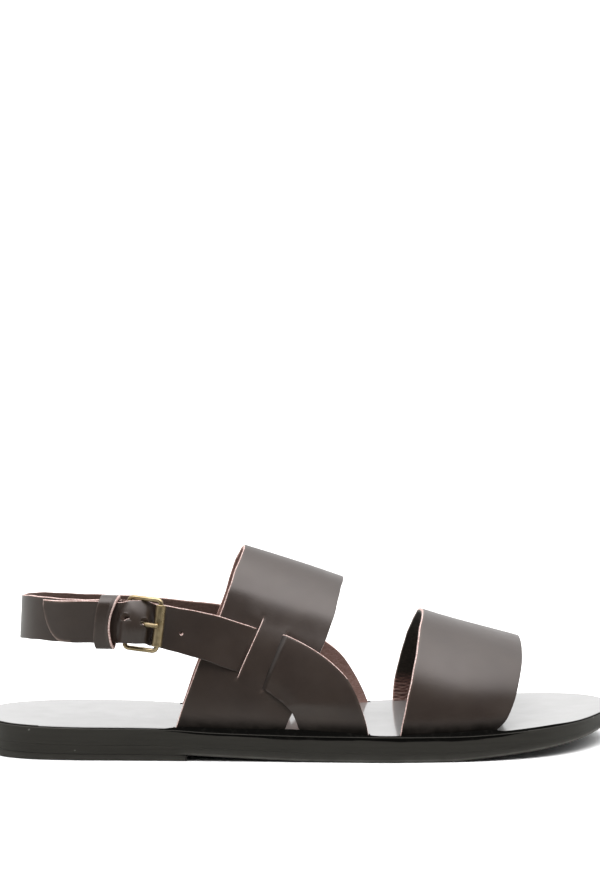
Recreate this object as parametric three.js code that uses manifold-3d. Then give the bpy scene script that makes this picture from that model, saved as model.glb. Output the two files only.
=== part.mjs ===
// Flat leather sandal for the right foot, EU size 42, standing empty on its sole.
// Millimetres: +X to the toe, +Y to the inner (medial) side of the foot, +Z up, floor at Z = 0.
import * as THREE from 'three';
import { mergeVertices } from 'three/addons/utils/BufferGeometryUtils.js';
import Module from 'manifold-3d';

const { clamp, degToRad, lerp } = THREE.MathUtils;
const wasm = await Module();
wasm.setup();

// Sole
const LENGTH = 280; // heel back to toe tip, 42 Paris points
const INSOLE = 2.4; // insole leather
const OUTSOLE_SHARE = 0.42; // outsole's share of the sole below the insole
const SEAM = 0.2; // bond line between layers
const EDGE_ROUND = 0.9; // rounding of the outer edges
const FINE_ROUND = 0.3; // rounding of the edges at a seam
const INSOLE_INSET = 0.7; // insole edge inside the midsole edge
const HEEL_BREAST_X = -50; // front face of the heel lift
const HEEL_INSET = 0.4; // heel lift edge inside the outsole edge

// Straps
const LEATHER = 2.1; // strap leather
const GAP = 0.3; // between pieces that touch
const FUSE = 0.25; // overlap of straps that are joined where they cross
const STRAP_INSET = 2.9; // inner face of a strap's foot inside the midsole edge
const NOTCH_GIRTH = 0.04; // reach of the insole's notches below and above a strap's foot
const NOTCH_EASE = 0.6; // and past its rear and front edge
const MEDIAL_FOOT_FORWARD = 8; // the medial wing stands further forward at the sole
const MEDIAL_BRIDGE_FORWARD = 1.5; // and at its bridge
const MEDIAL_DROP = 0.012; // and its bridge sits lower, as a share of the girth
const TIP_ROWS = 0.95; // length of the buckle strap's round end, in rows of its table
const TIP_SQUARE = 0.15; // share of its width that is cut square
const TIP_BULGE = 0.72; // power of its round side, 0.5 on an ellipse
const PUNCH_DIAMETER = 2.6; // spare holes

// Buckle of brass wire, and the fold of the heel strap round its plain bar
const WIRE = 2.1;
const FRAME_HALF_HEIGHT = 10.9; // to the middle of the wire
const FRAME_CORNER = 1.9;
const ROLLER_DIAMETER = 4.6;
const ROLLER_LENGTH = 18;
const PRONG = 2; // prong thickness
const PRONG_PAST_ROLLER = 1.2;
const FOLD = 1; // thinned leather of the fold
const FOLD_LENGTH = 4; // from the bar to where the fold ends
const ROLLER_ROW = 5.7; // row of the buckle strap that lies under the roller

// Keeper loop round both layers of strap
const KEEPER_WIDTH = 9.2;
const KEEPER_LEATHER = 1.5;
const KEEPER_CORNER = 1.5;
const KEEPER_ROW = 9.33; // its place on the heel strap
const KEEPER_HALF_HEIGHT = 9.9; // inside
const KEEPER_DEPTH = 7.9; // inside, through both layers
const KEEPER_SHIFT = 3.2; // its middle from the heel strap's inner face

// Facets
const OUTLINE_STATIONS = 40;
const GIRTH_STEPS = 40;
const ACROSS_STEPS = 4;
const WING_STEPS = 18;
const BRIDGE_STEPS = 8;
const NOTCH_STEPS = 4;
const WIRE_SIDES = 10;
const RING_SIDES = 20;
const CORNER_STEPS = 3;

const UP = new THREE.Vector3(0, 0, 1);

/** Rows of numbers under named columns. */
const table = (columns, rows) =>
  rows.map((row) => Object.fromEntries(columns.map((name, i) => [name, row[i]])));

// Outline of the sole: lateral and medial edge at a distance from the heel's back
const OUTLINE = table(['along', 'lateral', 'medial'], [
  [0, 4, 4],
  [8, -18.5, 26],
  [20, -26.5, 35],
  [40, -31, 39.5],
  [62, -33.5, 37.5],
  [85, -36.3, 32.4],
  [110, -39.5, 29.8],
  [145, -44.3, 34],
  [185, -48.4, 43.5],
  [215, -47.6, 48.4],
  [240, -41.5, 48],
  [258, -30.5, 43.5],
  [271, -15.5, 34],
  [LENGTH, 10, 10],
]);

// Side profile of the sole: underside of the outsole and top of the insole
const PROFILE = table(['x', 'underside', 'top'], [
  [-140, 3.4, 15.5],
  [-105, 2.9, 14.7],
  [-60, 2.7, 14.3],
  [-40, 1.8, 13.2],
  [-15, 0.7, 12.5],
  [8, 0, 12.1],
  [59, 0, 11.9],
  [75, 1.1, 12.2],
  [98, 3, 13.2],
  [120, 5.4, 14.2],
  [140, 9, 15.6],
]);

// The last that the straps are shaped on: height and place of its ridge
const LAST = table(['x', 'ridgeHeight', 'ridgeY'], [
  [-60, 96.5, 5],
  [-25, 86.6, 5],
  [18, 72.2, 4.5],
  [53, 57.5, 4],
  [98, 44, 6],
]);

// Wide straps: rear and front edge at a share of the girth, from the lateral foot (0) to the medial (1)
const FRONT_STRAP = table(['girth', 'rear', 'front'], [
  [0, 39.2, 80.5],
  [0.08, 42, 86.4],
  [0.16, 45.2, 90.8],
  [0.3, 49.3, 94.9],
  [0.5, 53.5, 97.4],
  [0.7, 52.4, 97.8],
  [0.84, 49, 95],
  [0.92, 47, 91],
  [1, 45.5, 85.5],
]);
const INSTEP_BAND = table(['girth', 'rear', 'front'], [
  [0, -57.6, -11.2],
  [0.13, -45.7, 1.2],
  [0.22, -37.4, 8.8],
  [0.32, -31, 13.8],
  [0.5, -25, 18.5],
  [0.68, -29, 16],
  [0.78, -33.4, 11.8],
  [0.87, -40.5, 5],
  [1, -51.6, -5.6],
]);

// Lateral wing from the sole up to its bridge: lower and upper edge on the last, and lift off the last
const WING = table(['lowX', 'lowGirth', 'highX', 'highGirth', 'lift'], [
  [-2.2, 0, 26.4, 0, 0],
  [-6, 0.046, 24.6, 0.046, 0.9],
  [-9.4, 0.068, 21.2, 0.094, LEATHER - FUSE],
  [-12.6, 0.076, 15.8, 0.14, LEATHER - FUSE],
  [-15.6, 0.083, 5.6, 0.178, LEATHER - FUSE],
  [-18.7, 0.091, -8.2, 0.204, LEATHER - FUSE],
  [-30.3, 0.115, -20.6, 0.211, LEATHER - FUSE],
]);

// Bridge of the band over its strap: rear and front edge on the last from bottom to top, and rise
const BRIDGE = table(['lowX', 'lowGirth', 'highX', 'highGirth', 'rise'], [
  [-30.2, 0.103, -19.4, 0.086, 0],
  [-28.6, 0.122, -17.9, 0.104, 2.6],
  [-24, 0.172, -13.5, 0.155, 2.8],
  [-20, 0.217, -9.7, 0.2, 2.6],
  [-18.3, 0.236, -8.1, 0.219, 0],
]);

// Heel strap: middle of its inner face from the medial bridge round the heel to the buckle's plain bar
const HEEL_STRAP = table(['x', 'y', 'z', 'lean', 'width'], [
  [-20, 26.8, 45.4, 17, 21],
  [-38, 27.6, 49.4, 14, 20],
  [-62, 30.4, 52.2, 8, 18.8],
  [-84, 30.2, 53.7, 5, 18.8],
  [-103, 24.5, 55.5, 3, 18.8],
  [-115.6, 13.5, 57.4, 3, 18.8],
  [-120.6, 0, 58.8, 3, 18.8],
  [-116, -13.5, 60, 3, 18.8],
  [-104, -24, 60.4, 3, 18.8],
  [-90, -29.2, 60.5, 3, 18.5],
  [-77, -31, 60.4, 4, 18.4],
]);
const HEEL_STRAP_END = 9.8; // row where it goes over into the fold

// Buckle strap: middle of its inner face from the free end over the bar and under the roller to the bridge
const BUCKLE_STRAP = table(['x', 'y', 'z', 'lean', 'width'], [
  [-112.3, -21.4, 60.2, 3, 17.8],
  [-103.5, -27.2, 60.4, 3, 17.8],
  [-93, -31, 60.7, 3, 17.8],
  [-85.5, -33.5, 60.8, 3, 17.8],
  [-77, -36.1, 60.5, 4, 17.8],
  [-70, -35.3, 59.9, 5, 18],
  [-63, -33.7, 58.6, 6, 18.4],
  [-52, -32, 55.8, 11, 19.2],
  [-41.5, -30.9, 52.6, 15, 20],
  [-25.5, -31.6, 47.2, 17, 21],
]);

// Spare holes in the buckle strap: row of its table, and place above the middle of its width
const PUNCHES = table(['row', 'up'], [
  [3.8, 0.6],
  [6.8, -1],
]);

/** A smooth curve through a table: column key against column at, level at its turning points. */
function curve(rows, at, key) {
  const xs = rows.map((row) => row[at]);
  const ys = rows.map((row) => row[key]);
  const last = xs.length - 1;
  const slopes = ys.map((_, i) => {
    const before = Math.max(i - 1, 0);
    const after = Math.min(i + 1, last);
    const isTurning = i > 0 && i < last && (ys[i] - ys[before]) * (ys[after] - ys[i]) <= 0;
    return isTurning ? 0 : (ys[after] - ys[before]) / (xs[after] - xs[before]);
  });
  return (x) => {
    const next = xs.findIndex((value) => value > x);
    const i = next < 0 ? last - 1 : Math.max(next - 1, 0);
    const span = xs[i + 1] - xs[i];
    const t = clamp((x - xs[i]) / span, 0, 1);
    const blend = t * t * (3 - 2 * t);
    const sway = t * (1 - t) * (1 - t) * slopes[i] - t * t * (1 - t) * slopes[i + 1];
    return lerp(ys[i], ys[i + 1], blend) + sway * span;
  };
}

/** All columns of a table as one smooth function of the row number. */
function rowCurve(rows) {
  const numbered = rows.map((row, index) => ({ ...row, index }));
  const curves = Object.keys(rows[0]).map((key) => [key, curve(numbered, 'index', key)]);
  return (index) => Object.fromEntries(curves.map(([key, valueAt]) => [key, valueAt(index)]));
}

/** Evenly spaced numbers, both ends included. */
const steps = (count, from = 0, to = 1) =>
  Array.from({ length: count + 1 }, (_, i) => lerp(from, to, i / count));

// The turn runs from 0 at the heel to pi at the toe, and spaces stations closely at the round ends
const turnAt = (x) => Math.acos(clamp((-2 * x) / LENGTH, -1, 1));
const xOfTurn = (turn) => (-LENGTH / 2) * Math.cos(turn);
const turnedOutline = OUTLINE.map((row) => ({ ...row, turn: turnAt(row.along - LENGTH / 2) }));
const lateralOfTurn = curve(turnedOutline, 'turn', 'lateral');
const medialOfTurn = curve(turnedOutline, 'turn', 'medial');

// Heights of the sole's layers against x
const undersideAt = curve(PROFILE, 'x', 'underside');
const topAt = curve(PROFILE, 'x', 'top');
const midsoleTopAt = (x) => topAt(x) - INSOLE;
const outsoleTopAt = (x) => lerp(undersideAt(x), midsoleTopAt(x), OUTSOLE_SHARE);

const ridgeHeightAt = curve(LAST, 'x', 'ridgeHeight');
const ridgeYAt = curve(LAST, 'x', 'ridgeY');

/** A point of the last: half an ellipse over the sole at each x, from its lateral to its medial foot. */
function lastSurface(x, girth) {
  const angle = Math.PI * girth;
  const turn = turnAt(x);
  const ridgeY = ridgeYAt(x);
  const lateralReach = ridgeY - lateralOfTurn(turn) - STRAP_INSET;
  const medialReach = medialOfTurn(turn) - ridgeY - STRAP_INSET;
  const reach = girth < 0.5 ? lateralReach : medialReach;
  const foot = midsoleTopAt(x) + GAP;
  const height = (ridgeHeightAt(x) - foot) * Math.sin(angle);
  return new THREE.Vector3(x, ridgeY - reach * Math.cos(angle), foot + height);
}

/** The same point lifted off the last along its normal. */
function lastPoint(x, girth, lift) {
  const stepX = 0.1;
  const stepGirth = 0.001;
  const alongX = lastSurface(x + stepX, girth).sub(lastSurface(x - stepX, girth));
  const alongGirth = lastSurface(x, girth + stepGirth).sub(lastSurface(x, girth - stepGirth));
  const normal = alongX.cross(alongGirth).normalize();
  return lastSurface(x, girth).addScaledVector(normal, lift);
}

/** A closed body of points and triangles: equal points merged, flat triangles dropped, faces turned out. */
function closedBody(points, triangles) {
  const loose = new THREE.BufferGeometry().setFromPoints(points);
  loose.setIndex(triangles.flat());
  const geometry = mergeVertices(loose, 1e-4);
  const { index, attributes } = geometry;
  const faces = [];
  for (let i = 0; i < index.count; i += 3) {
    const face = [index.getX(i), index.getX(i + 1), index.getX(i + 2)];
    if (new Set(face).size === 3) {
      faces.push(face);
    }
  }
  const corner = (i) => new THREE.Vector3().fromBufferAttribute(attributes.position, i);
  const volumes = faces.map(([a, b, c]) => corner(a).dot(corner(b).cross(corner(c))));
  const volume = volumes.reduce((sum, part) => sum + part);
  geometry.setIndex(faces.map((face) => (volume < 0 ? face.reverse() : face)).flat());
  return geometry;
}

/** Rings of equal count joined in order, with both ends capped, or joined into a loop. */
function loft(rings, isLoop = false) {
  const count = rings[0].length;
  const end = (rings.length - 1) * count;
  const triangles = [];
  const quad = (a, b, c, d) => triangles.push([a, b, c], [a, c, d]);
  for (let r = 0; r < (isLoop ? rings.length : rings.length - 1); r++) {
    const here = r * count;
    const there = ((r + 1) % rings.length) * count;
    for (let i = 0; i < count; i++) {
      const j = (i + 1) % count;
      quad(here + i, here + j, there + j, there + i);
    }
  }
  for (let i = 0; !isLoop && 2 * i + 3 <= count; i++) {
    const mirror = count - 1 - i;
    quad(mirror, mirror - 1, i + 1, i);
    quad(end + i, end + i + 1, end + mirror - 1, end + mirror);
  }
  return closedBody(rings.flat(), triangles);
}

function toSolid(geometry) {
  const bare = geometry.clone();
  bare.deleteAttribute('normal');
  bare.deleteAttribute('uv');
  const merged = mergeVertices(bare, 1e-4);
  const vertProperties = Float32Array.from(merged.attributes.position.array);
  const triVerts = Uint32Array.from(merged.index.array);
  return new wasm.Manifold(new wasm.Mesh({ numProp: 3, vertProperties, triVerts }));
}

function toGeometry(solid) {
  const { vertProperties, triVerts } = solid.getMesh();
  const geometry = new THREE.BufferGeometry();
  geometry.setAttribute('position', new THREE.BufferAttribute(Float32Array.from(vertProperties), 3));
  geometry.setIndex(Array.from(triVerts));
  return geometry;
}

const join = (geometries) => geometries.map(toSolid).reduce((whole, piece) => whole.add(piece));
const cut = (solid, tools) => tools.map(toSolid).reduce((rest, tool) => rest.subtract(tool), solid);

/** Corners of the sole outline from heel to heel; an outline that stops short of the toe ends straight. */
function outlinePoints(toX) {
  const turns = steps(OUTLINE_STATIONS, 0, turnAt(toX));
  const lateral = turns.map((turn) => new THREE.Vector2(xOfTurn(turn), lateralOfTurn(turn)));
  const medial = turns.map((turn) => new THREE.Vector2(xOfTurn(turn), medialOfTurn(turn)));
  const meets = lateral.at(-1).distanceTo(medial.at(-1)) < GAP;
  return [...lateral, ...medial.slice(1, meets ? -1 : undefined).reverse()];
}

/** A layer of the sole between stacked rings, each an inset of the outline at its own height. */
function soleLayer(rings, toX = LENGTH / 2) {
  const outline = outlinePoints(toX);
  const inward = outline.map((_, i) => {
    const ahead = outline[(i + 1) % outline.length];
    const { x, y } = ahead.clone().sub(outline.at(i - 1)).normalize();
    return new THREE.Vector2(-y, x);
  });
  const ringAt = ({ inset, heightAt }) => {
    const ring = outline.map((point, i) => {
      const place = point.clone().addScaledVector(inward[i], inset);
      const x = Math.min(place.x, toX);
      return new THREE.Vector3(x, place.y, heightAt(x));
    });
    return [...ring, ring[0].clone()];
  };
  return loft(rings.map(ringAt));
}

/** Rings of a layer with rounded lower and upper edges. */
function roundedLayer(inset, lowerAt, upperAt, lowerRound, upperRound) {
  return [
    { inset: inset + lowerRound, heightAt: lowerAt },
    { inset: inset + lowerRound / 3, heightAt: (x) => lowerAt(x) + lowerRound / 3 },
    { inset, heightAt: (x) => lowerAt(x) + lowerRound },
    { inset, heightAt: (x) => upperAt(x) - upperRound },
    { inset: inset + upperRound, heightAt: upperAt },
  ];
}

/** A strap lying on the last, between two edges and two lifts that change from stop to stop. */
function strapOnLast(stops, shapeAt) {
  const shares = steps(ACROSS_STEPS);
  const ringAt = (stop) => {
    const { lowX, lowGirth, highX, highGirth, inner, outer } = shapeAt(stop);
    const at = (share, lift) =>
      lastPoint(lerp(lowX, highX, share), lerp(lowGirth, highGirth, share), lift);
    const inside = shares.map((share) => at(share, inner));
    const outside = shares.map((share) => at(share, outer));
    return [...inside, ...outside.reverse()];
  };
  return loft(stops.map(ringAt));
}

/** A wide strap over the whole girth of the last. */
function wideStrap(rows) {
  const rearAt = curve(rows, 'girth', 'rear');
  const frontAt = curve(rows, 'girth', 'front');
  return strapOnLast(steps(GIRTH_STEPS), (girth) => ({
    lowX: rearAt(girth),
    highX: frontAt(girth),
    lowGirth: girth,
    highGirth: girth,
    inner: 0,
    outer: LEATHER,
  }));
}

/** A wing from the sole up to its bridge. */
function wing(rows) {
  const rowAt = rowCurve(rows);
  return strapOnLast(steps(WING_STEPS, 0, rows.length - 1), (index) => {
    const row = rowAt(index);
    return { ...row, inner: row.lift, outer: row.lift + LEATHER };
  });
}

/** The bridge of the band over its strap. */
function bridge(rows) {
  const rowAt = rowCurve(rows);
  return strapOnLast(steps(BRIDGE_STEPS, 0, rows.length - 1), (index) => {
    const row = rowAt(index);
    return { ...row, inner: LEATHER - FUSE, outer: LEATHER + Math.max(row.rise, 0) };
  });
}

/** Room for a strap's foot in the edge of the insole, at either end of the girth. */
function footNotch(rows, girth) {
  const rearAt = curve(rows, 'girth', 'rear');
  const frontAt = curve(rows, 'girth', 'front');
  const stops = steps(NOTCH_STEPS, girth - NOTCH_GIRTH, girth + NOTCH_GIRTH);
  return strapOnLast(stops, (stop) => ({
    lowX: rearAt(stop) - NOTCH_EASE,
    highX: frontAt(stop) + NOTCH_EASE,
    lowGirth: stop,
    highGirth: stop,
    inner: -GAP,
    outer: LEATHER + STRAP_INSET,
  }));
}

/** The edges of a wing next to the sole, in the columns of a wide strap. */
function wingFoot(rows) {
  const feet = rows.slice(0, 2).map((row) => ({ girth: row.lowGirth, rear: row.lowX, front: row.highX }));
  return feet.sort((a, b) => a.girth - b.girth);
}

/** Rows of the lateral side turned over to the medial side. */
function medialRows(rows, forwardAt, dropAt) {
  const turned = (key, value, share) => {
    if (key.endsWith('X')) {
      return value + forwardAt(share);
    }
    return key.endsWith('Girth') ? 1 - value + dropAt(share) : value;
  };
  return rows.map((row, i) => {
    const share = i / (rows.length - 1);
    return Object.fromEntries(Object.entries(row).map(([key, value]) => [key, turned(key, value, share)]));
  });
}

/** Place and directions on a free strap: along it, up its width, and out of its smooth face. */
function strapPath(rows) {
  const line = new THREE.CatmullRomCurve3(rows.map(({ x, y, z }) => new THREE.Vector3(x, y, z)));
  const rowAt = rowCurve(rows);
  return (index) => {
    const share = index / (rows.length - 1);
    const { lean, width } = rowAt(index);
    const along = line.getTangent(share);
    const level = new THREE.Vector3().crossVectors(along, UP).normalize();
    const upright = new THREE.Vector3().crossVectors(level, along);
    const cos = Math.cos(degToRad(lean));
    const sin = Math.sin(degToRad(lean));
    const up = upright.clone().multiplyScalar(cos).addScaledVector(level, -sin);
    const out = level.clone().multiplyScalar(cos).addScaledVector(upright, sin);
    return { centre: line.getPoint(share), along, up, out, width };
  };
}

/** A strap along a path, from its inner face outwards; lowAt gives its lower edge in half widths. */
function freeStrap(path, stops, lowAt = () => -1) {
  const ringAt = (stop) => {
    const { centre, up, out, width } = path(stop);
    const at = (share, lift) =>
      centre.clone().addScaledVector(up, (share * width) / 2).addScaledVector(out, lift);
    const low = lowAt(stop);
    return [at(low, 0), at(1, 0), at(1, LEATHER), at(low, LEATHER)];
  };
  return loft(stops.map(ringAt));
}

/** Lower edge of the buckle strap's round end. */
function tipLow(index) {
  const left = Math.max(1 - index / TIP_ROWS, 0);
  return 1 - 2 * lerp(TIP_SQUARE, 1, (1 - left * left) ** TIP_BULGE);
}

/** A frame of directions at a place, as a matrix. */
function basisAt(centre, xAxis, yAxis) {
  const x = xAxis.clone().normalize();
  const z = new THREE.Vector3().crossVectors(x, yAxis).normalize();
  const y = new THREE.Vector3().crossVectors(z, x);
  return new THREE.Matrix4().makeBasis(x, y, z).setPosition(centre);
}

/** Corners of a rectangle with round corners. */
function roundedRectangle(halfX, halfY, radius) {
  const signs = [[1, 1], [-1, 1], [-1, -1], [1, -1]];
  return signs.flatMap(([signX, signY], quarter) =>
    steps(CORNER_STEPS).map((share) => {
      const angle = ((quarter + share) * Math.PI) / 2;
      const x = signX * (halfX - radius) + radius * Math.cos(angle);
      const y = signY * (halfY - radius) + radius * Math.sin(angle);
      return new THREE.Vector2(x, y);
    }),
  );
}

/** Round wire bent into a closed flat loop. */
function wireLoop(corners, diameter) {
  const angles = steps(WIRE_SIDES, 0, 2 * Math.PI).slice(1);
  const rings = corners.map((corner, i) => {
    const ahead = corners[(i + 1) % corners.length];
    const { x, y } = ahead.clone().sub(corners.at(i - 1)).normalize();
    return angles.map((angle) => {
      const side = (Math.cos(angle) * diameter) / 2;
      return new THREE.Vector3(corner.x + y * side, corner.y - x * side, (Math.sin(angle) * diameter) / 2);
    });
  });
  return loft(rings, true);
}

/** A tube ring about the Y axis. */
function tubeRing(inner, outer, height) {
  const profile = roundedRectangle((outer - inner) / 2, height / 2, FINE_ROUND);
  const placed = profile.map(({ x, y }) => new THREE.Vector2(x + (inner + outer) / 2, y));
  return new THREE.LatheGeometry([...placed, placed[0]], RING_SIDES);
}

/** A flat outline with thickness both ways from its plane. */
function plate(shape, depth) {
  const geometry = new THREE.ExtrudeGeometry(shape, { depth, bevelEnabled: false, curveSegments: RING_SIDES });
  return geometry.translate(0, 0, -depth / 2);
}

/** A round rod from one point to another. */
function rod(from, to, diameter) {
  const direction = to.clone().sub(from);
  const geometry = new THREE.CylinderGeometry(diameter / 2, diameter / 2, direction.length(), WIRE_SIDES);
  const turn = new THREE.Quaternion().setFromUnitVectors(new THREE.Vector3(0, 1, 0), direction.normalize());
  return geometry.applyQuaternion(turn).translate(...from.clone().add(to).divideScalar(2).toArray());
}

const leatherFinish = new THREE.MeshStandardMaterial({ color: 0x3b312e, roughness: 0.45 });
const edgeFinish = new THREE.MeshStandardMaterial({ color: 0x1d1b19, roughness: 0.4 });
const insoleFinish = new THREE.MeshStandardMaterial({ color: 0xd9d6d2, roughness: 0.3 });
const brassFinish = new THREE.MeshStandardMaterial({ color: 0x8a7d55, roughness: 0.35, metalness: 1 });

const sandal = new THREE.Group();

function add(name, geometry, material, parent = sandal) {
  const mesh = new THREE.Mesh(geometry, material);
  mesh.name = name;
  mesh.geometry.computeVertexNormals();
  parent.add(mesh);
}

// Straps of the instep: band, wings and bridges on the last
const medialWing = medialRows(
  WING,
  (share) => lerp(MEDIAL_FOOT_FORWARD, MEDIAL_BRIDGE_FORWARD, share),
  (share) => MEDIAL_DROP * share,
);
const medialBridge = medialRows(
  BRIDGE,
  () => MEDIAL_BRIDGE_FORWARD,
  () => MEDIAL_DROP,
);
const heelPath = strapPath(HEEL_STRAP);
const bucklePath = strapPath(BUCKLE_STRAP);
const heelStops = steps(48, 0, HEEL_STRAP_END);
const buckleStops = [...steps(8, 0, TIP_ROWS), ...steps(42, 1, BUCKLE_STRAP.length - 1)];

// Buckle: its frame runs from the plain bar, in the fold of the heel strap, to the bar in the roller
const foldEnd = heelPath(HEEL_STRAP.length - 1);
const foldRadius = FOLD + GAP + WIRE / 2;
const barCentre = foldEnd.centre.clone().addScaledVector(foldEnd.out, foldRadius);
const underRoller = bucklePath(ROLLER_ROW);
const rollerCentre = underRoller.centre
  .clone()
  .addScaledVector(underRoller.out, LEATHER + 2 * GAP + ROLLER_DIAMETER / 2);
const buckleAlong = rollerCentre.clone().sub(barCentre);
const buckleUp = underRoller.up.clone().add(foldEnd.up);
const buckle = new THREE.Group();
buckle.applyMatrix4(basisAt(barCentre.clone().add(rollerCentre).divideScalar(2), buckleAlong, buckleUp));
buckle.updateMatrixWorld();
const buckleLength = buckleAlong.length();

// Fold of the heel strap's end round the plain bar
const foldShape = new THREE.Shape()
  .moveTo(-FOLD_LENGTH, -foldRadius)
  .lineTo(0, -foldRadius)
  .absarc(0, 0, foldRadius, -Math.PI / 2, Math.PI / 2, false)
  .lineTo(-FOLD_LENGTH, LEATHER - foldRadius);
foldShape.holes.push(new THREE.Path().absarc(0, 0, GAP + WIRE / 2, 0, 2 * Math.PI, true));
const barAxis = new THREE.Vector3(0, 1, 0).transformDirection(buckle.matrixWorld);
const foldOut = new THREE.Vector3().crossVectors(foldEnd.along, barAxis);
const foldAlong = new THREE.Vector3().crossVectors(barAxis, foldOut);
const fold = plate(foldShape, foldEnd.width).applyMatrix4(basisAt(barCentre, foldAlong, foldOut));

const frameCorners = roundedRectangle(buckleLength / 2, FRAME_HALF_HEIGHT, FRAME_CORNER);
const eyeInner = WIRE / 2 + GAP;
const eyeOuter = eyeInner + PRONG / 2;
const prongFrom = new THREE.Vector3(-buckleLength / 2 + eyeInner + PRONG / 4, 0, 0);
const prongTo = new THREE.Vector3(
  buckleLength / 2 + PRONG_PAST_ROLLER,
  0,
  ROLLER_DIAMETER / 2 + PRONG / 2 + 2 * GAP,
);
const eyeAt = (inner, outer, height) =>
  tubeRing(inner, outer, height).translate(-buckleLength / 2, 0, 0);
const prong = join([eyeAt(eyeInner, eyeOuter, PRONG), rod(prongFrom, prongTo, PRONG)]);

// Room for the prong and its eye in the straps, and the spare holes
const prongRoom = [
  rod(prongFrom, prongTo, PRONG + 2 * GAP),
  rod(
    new THREE.Vector3(-buckleLength / 2, -PRONG / 2 - GAP, 0),
    new THREE.Vector3(-buckleLength / 2, PRONG / 2 + GAP, 0),
    2 * (eyeOuter + GAP),
  ),
].map((tool) => tool.applyMatrix4(buckle.matrixWorld));
const punches = PUNCHES.map((punch) => {
  const { centre, up, out } = bucklePath(punch.row);
  const middle = centre.clone().addScaledVector(up, punch.up);
  const inside = middle.clone().addScaledVector(out, -GAP);
  return rod(inside, middle.clone().addScaledVector(out, LEATHER + GAP), PUNCH_DIAMETER);
});
const instepStraps = join([
  wideStrap(INSTEP_BAND),
  wing(WING),
  wing(medialWing),
  bridge(BRIDGE),
  bridge(medialBridge),
  freeStrap(heelPath, heelStops),
  freeStrap(bucklePath, buckleStops, tipLow),
  fold,
]);
add('instep_straps', toGeometry(cut(instepStraps, [...prongRoom, ...punches])), leatherFinish);
add('front_strap', wideStrap(FRONT_STRAP), leatherFinish);

// Keeper loop
const keeperPlace = heelPath(KEEPER_ROW);
const keeperOuter = roundedRectangle(
  KEEPER_HALF_HEIGHT + KEEPER_LEATHER,
  KEEPER_DEPTH / 2 + KEEPER_LEATHER,
  KEEPER_CORNER + KEEPER_LEATHER,
);
const keeperInner = roundedRectangle(KEEPER_HALF_HEIGHT, KEEPER_DEPTH / 2, KEEPER_CORNER);
const keeperShape = new THREE.Shape(keeperOuter);
keeperShape.holes.push(new THREE.Path(keeperInner));
const keeper = new THREE.Group();
const keeperCentre = keeperPlace.centre.clone().addScaledVector(keeperPlace.out, KEEPER_SHIFT);
keeper.applyMatrix4(basisAt(keeperCentre, keeperPlace.up, keeperPlace.out));
add('strap_keeper', plate(keeperShape, KEEPER_WIDTH), leatherFinish, keeper);
sandal.add(keeper);

add('buckle_frame', wireLoop(frameCorners, WIRE), brassFinish, buckle);
const roller = tubeRing(WIRE / 2 + GAP, ROLLER_DIAMETER / 2, ROLLER_LENGTH);
add('buckle_roller', roller.translate(buckleLength / 2, 0, 0), brassFinish, buckle);
add('buckle_prong', toGeometry(prong), brassFinish, buckle);
sandal.add(buckle);

// Sole: heel lift, outsole, midsole and insole from the floor up
const below = (heightAt) => (x) => heightAt(x) - SEAM;
const heelLift = roundedLayer(HEEL_INSET, () => 0, below(undersideAt), EDGE_ROUND, FINE_ROUND);
add('heel_lift', soleLayer(heelLift, HEEL_BREAST_X), edgeFinish);
const outsole = roundedLayer(0, undersideAt, below(outsoleTopAt), EDGE_ROUND, FINE_ROUND);
add('outsole', soleLayer(outsole), edgeFinish);
const midsole = roundedLayer(0, outsoleTopAt, below(midsoleTopAt), FINE_ROUND, FINE_ROUND);
add('midsole', soleLayer(midsole), edgeFinish);
const insole = roundedLayer(INSOLE_INSET, midsoleTopAt, topAt, FINE_ROUND, FINE_ROUND);
const wideNotches = [FRONT_STRAP, INSTEP_BAND].flatMap((rows) => [footNotch(rows, 0), footNotch(rows, 1)]);
const wingNotches = [footNotch(wingFoot(WING), 0), footNotch(wingFoot(medialWing), 1)];
const notchedInsole = cut(toSolid(soleLayer(insole)), [...wideNotches, ...wingNotches]);
add('insole', toGeometry(notchedInsole), insoleFinish);

export default sandal;
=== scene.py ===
"""Looks of a flat leather sandal for the right foot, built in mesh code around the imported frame.

Sizes are in millimetres until a mesh is made: +X to the toe, +Y to the medial side, +Z up, floor at Z = 0.
"""

import math

import bpy
import numpy as np
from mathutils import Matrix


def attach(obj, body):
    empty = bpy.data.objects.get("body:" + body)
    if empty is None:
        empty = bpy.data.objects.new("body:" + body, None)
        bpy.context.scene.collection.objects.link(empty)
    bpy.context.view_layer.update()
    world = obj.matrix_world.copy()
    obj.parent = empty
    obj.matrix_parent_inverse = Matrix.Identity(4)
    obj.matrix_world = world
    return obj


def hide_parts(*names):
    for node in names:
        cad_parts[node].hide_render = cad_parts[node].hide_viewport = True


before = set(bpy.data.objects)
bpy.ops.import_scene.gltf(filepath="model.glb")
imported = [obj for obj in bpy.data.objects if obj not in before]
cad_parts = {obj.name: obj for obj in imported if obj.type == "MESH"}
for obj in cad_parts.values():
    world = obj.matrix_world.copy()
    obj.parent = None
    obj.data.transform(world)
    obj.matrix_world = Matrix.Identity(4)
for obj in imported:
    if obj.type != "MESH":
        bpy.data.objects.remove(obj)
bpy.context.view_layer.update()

MM = 0.001
UP = np.array([0.0, 0.0, 1.0])
SIDEWAYS = np.array([0.0, 1.0, 0.0])

# Sole
LENGTH = 280
INSOLE = 2.4
OUTSOLE_SHARE = 0.42
INSOLE_INSET = 0.75
HEEL_BREAST_X = -52
HEEL_INSET = 0.03
LAYER_GAP = 0.04
SOLE_STATIONS = 150

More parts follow.
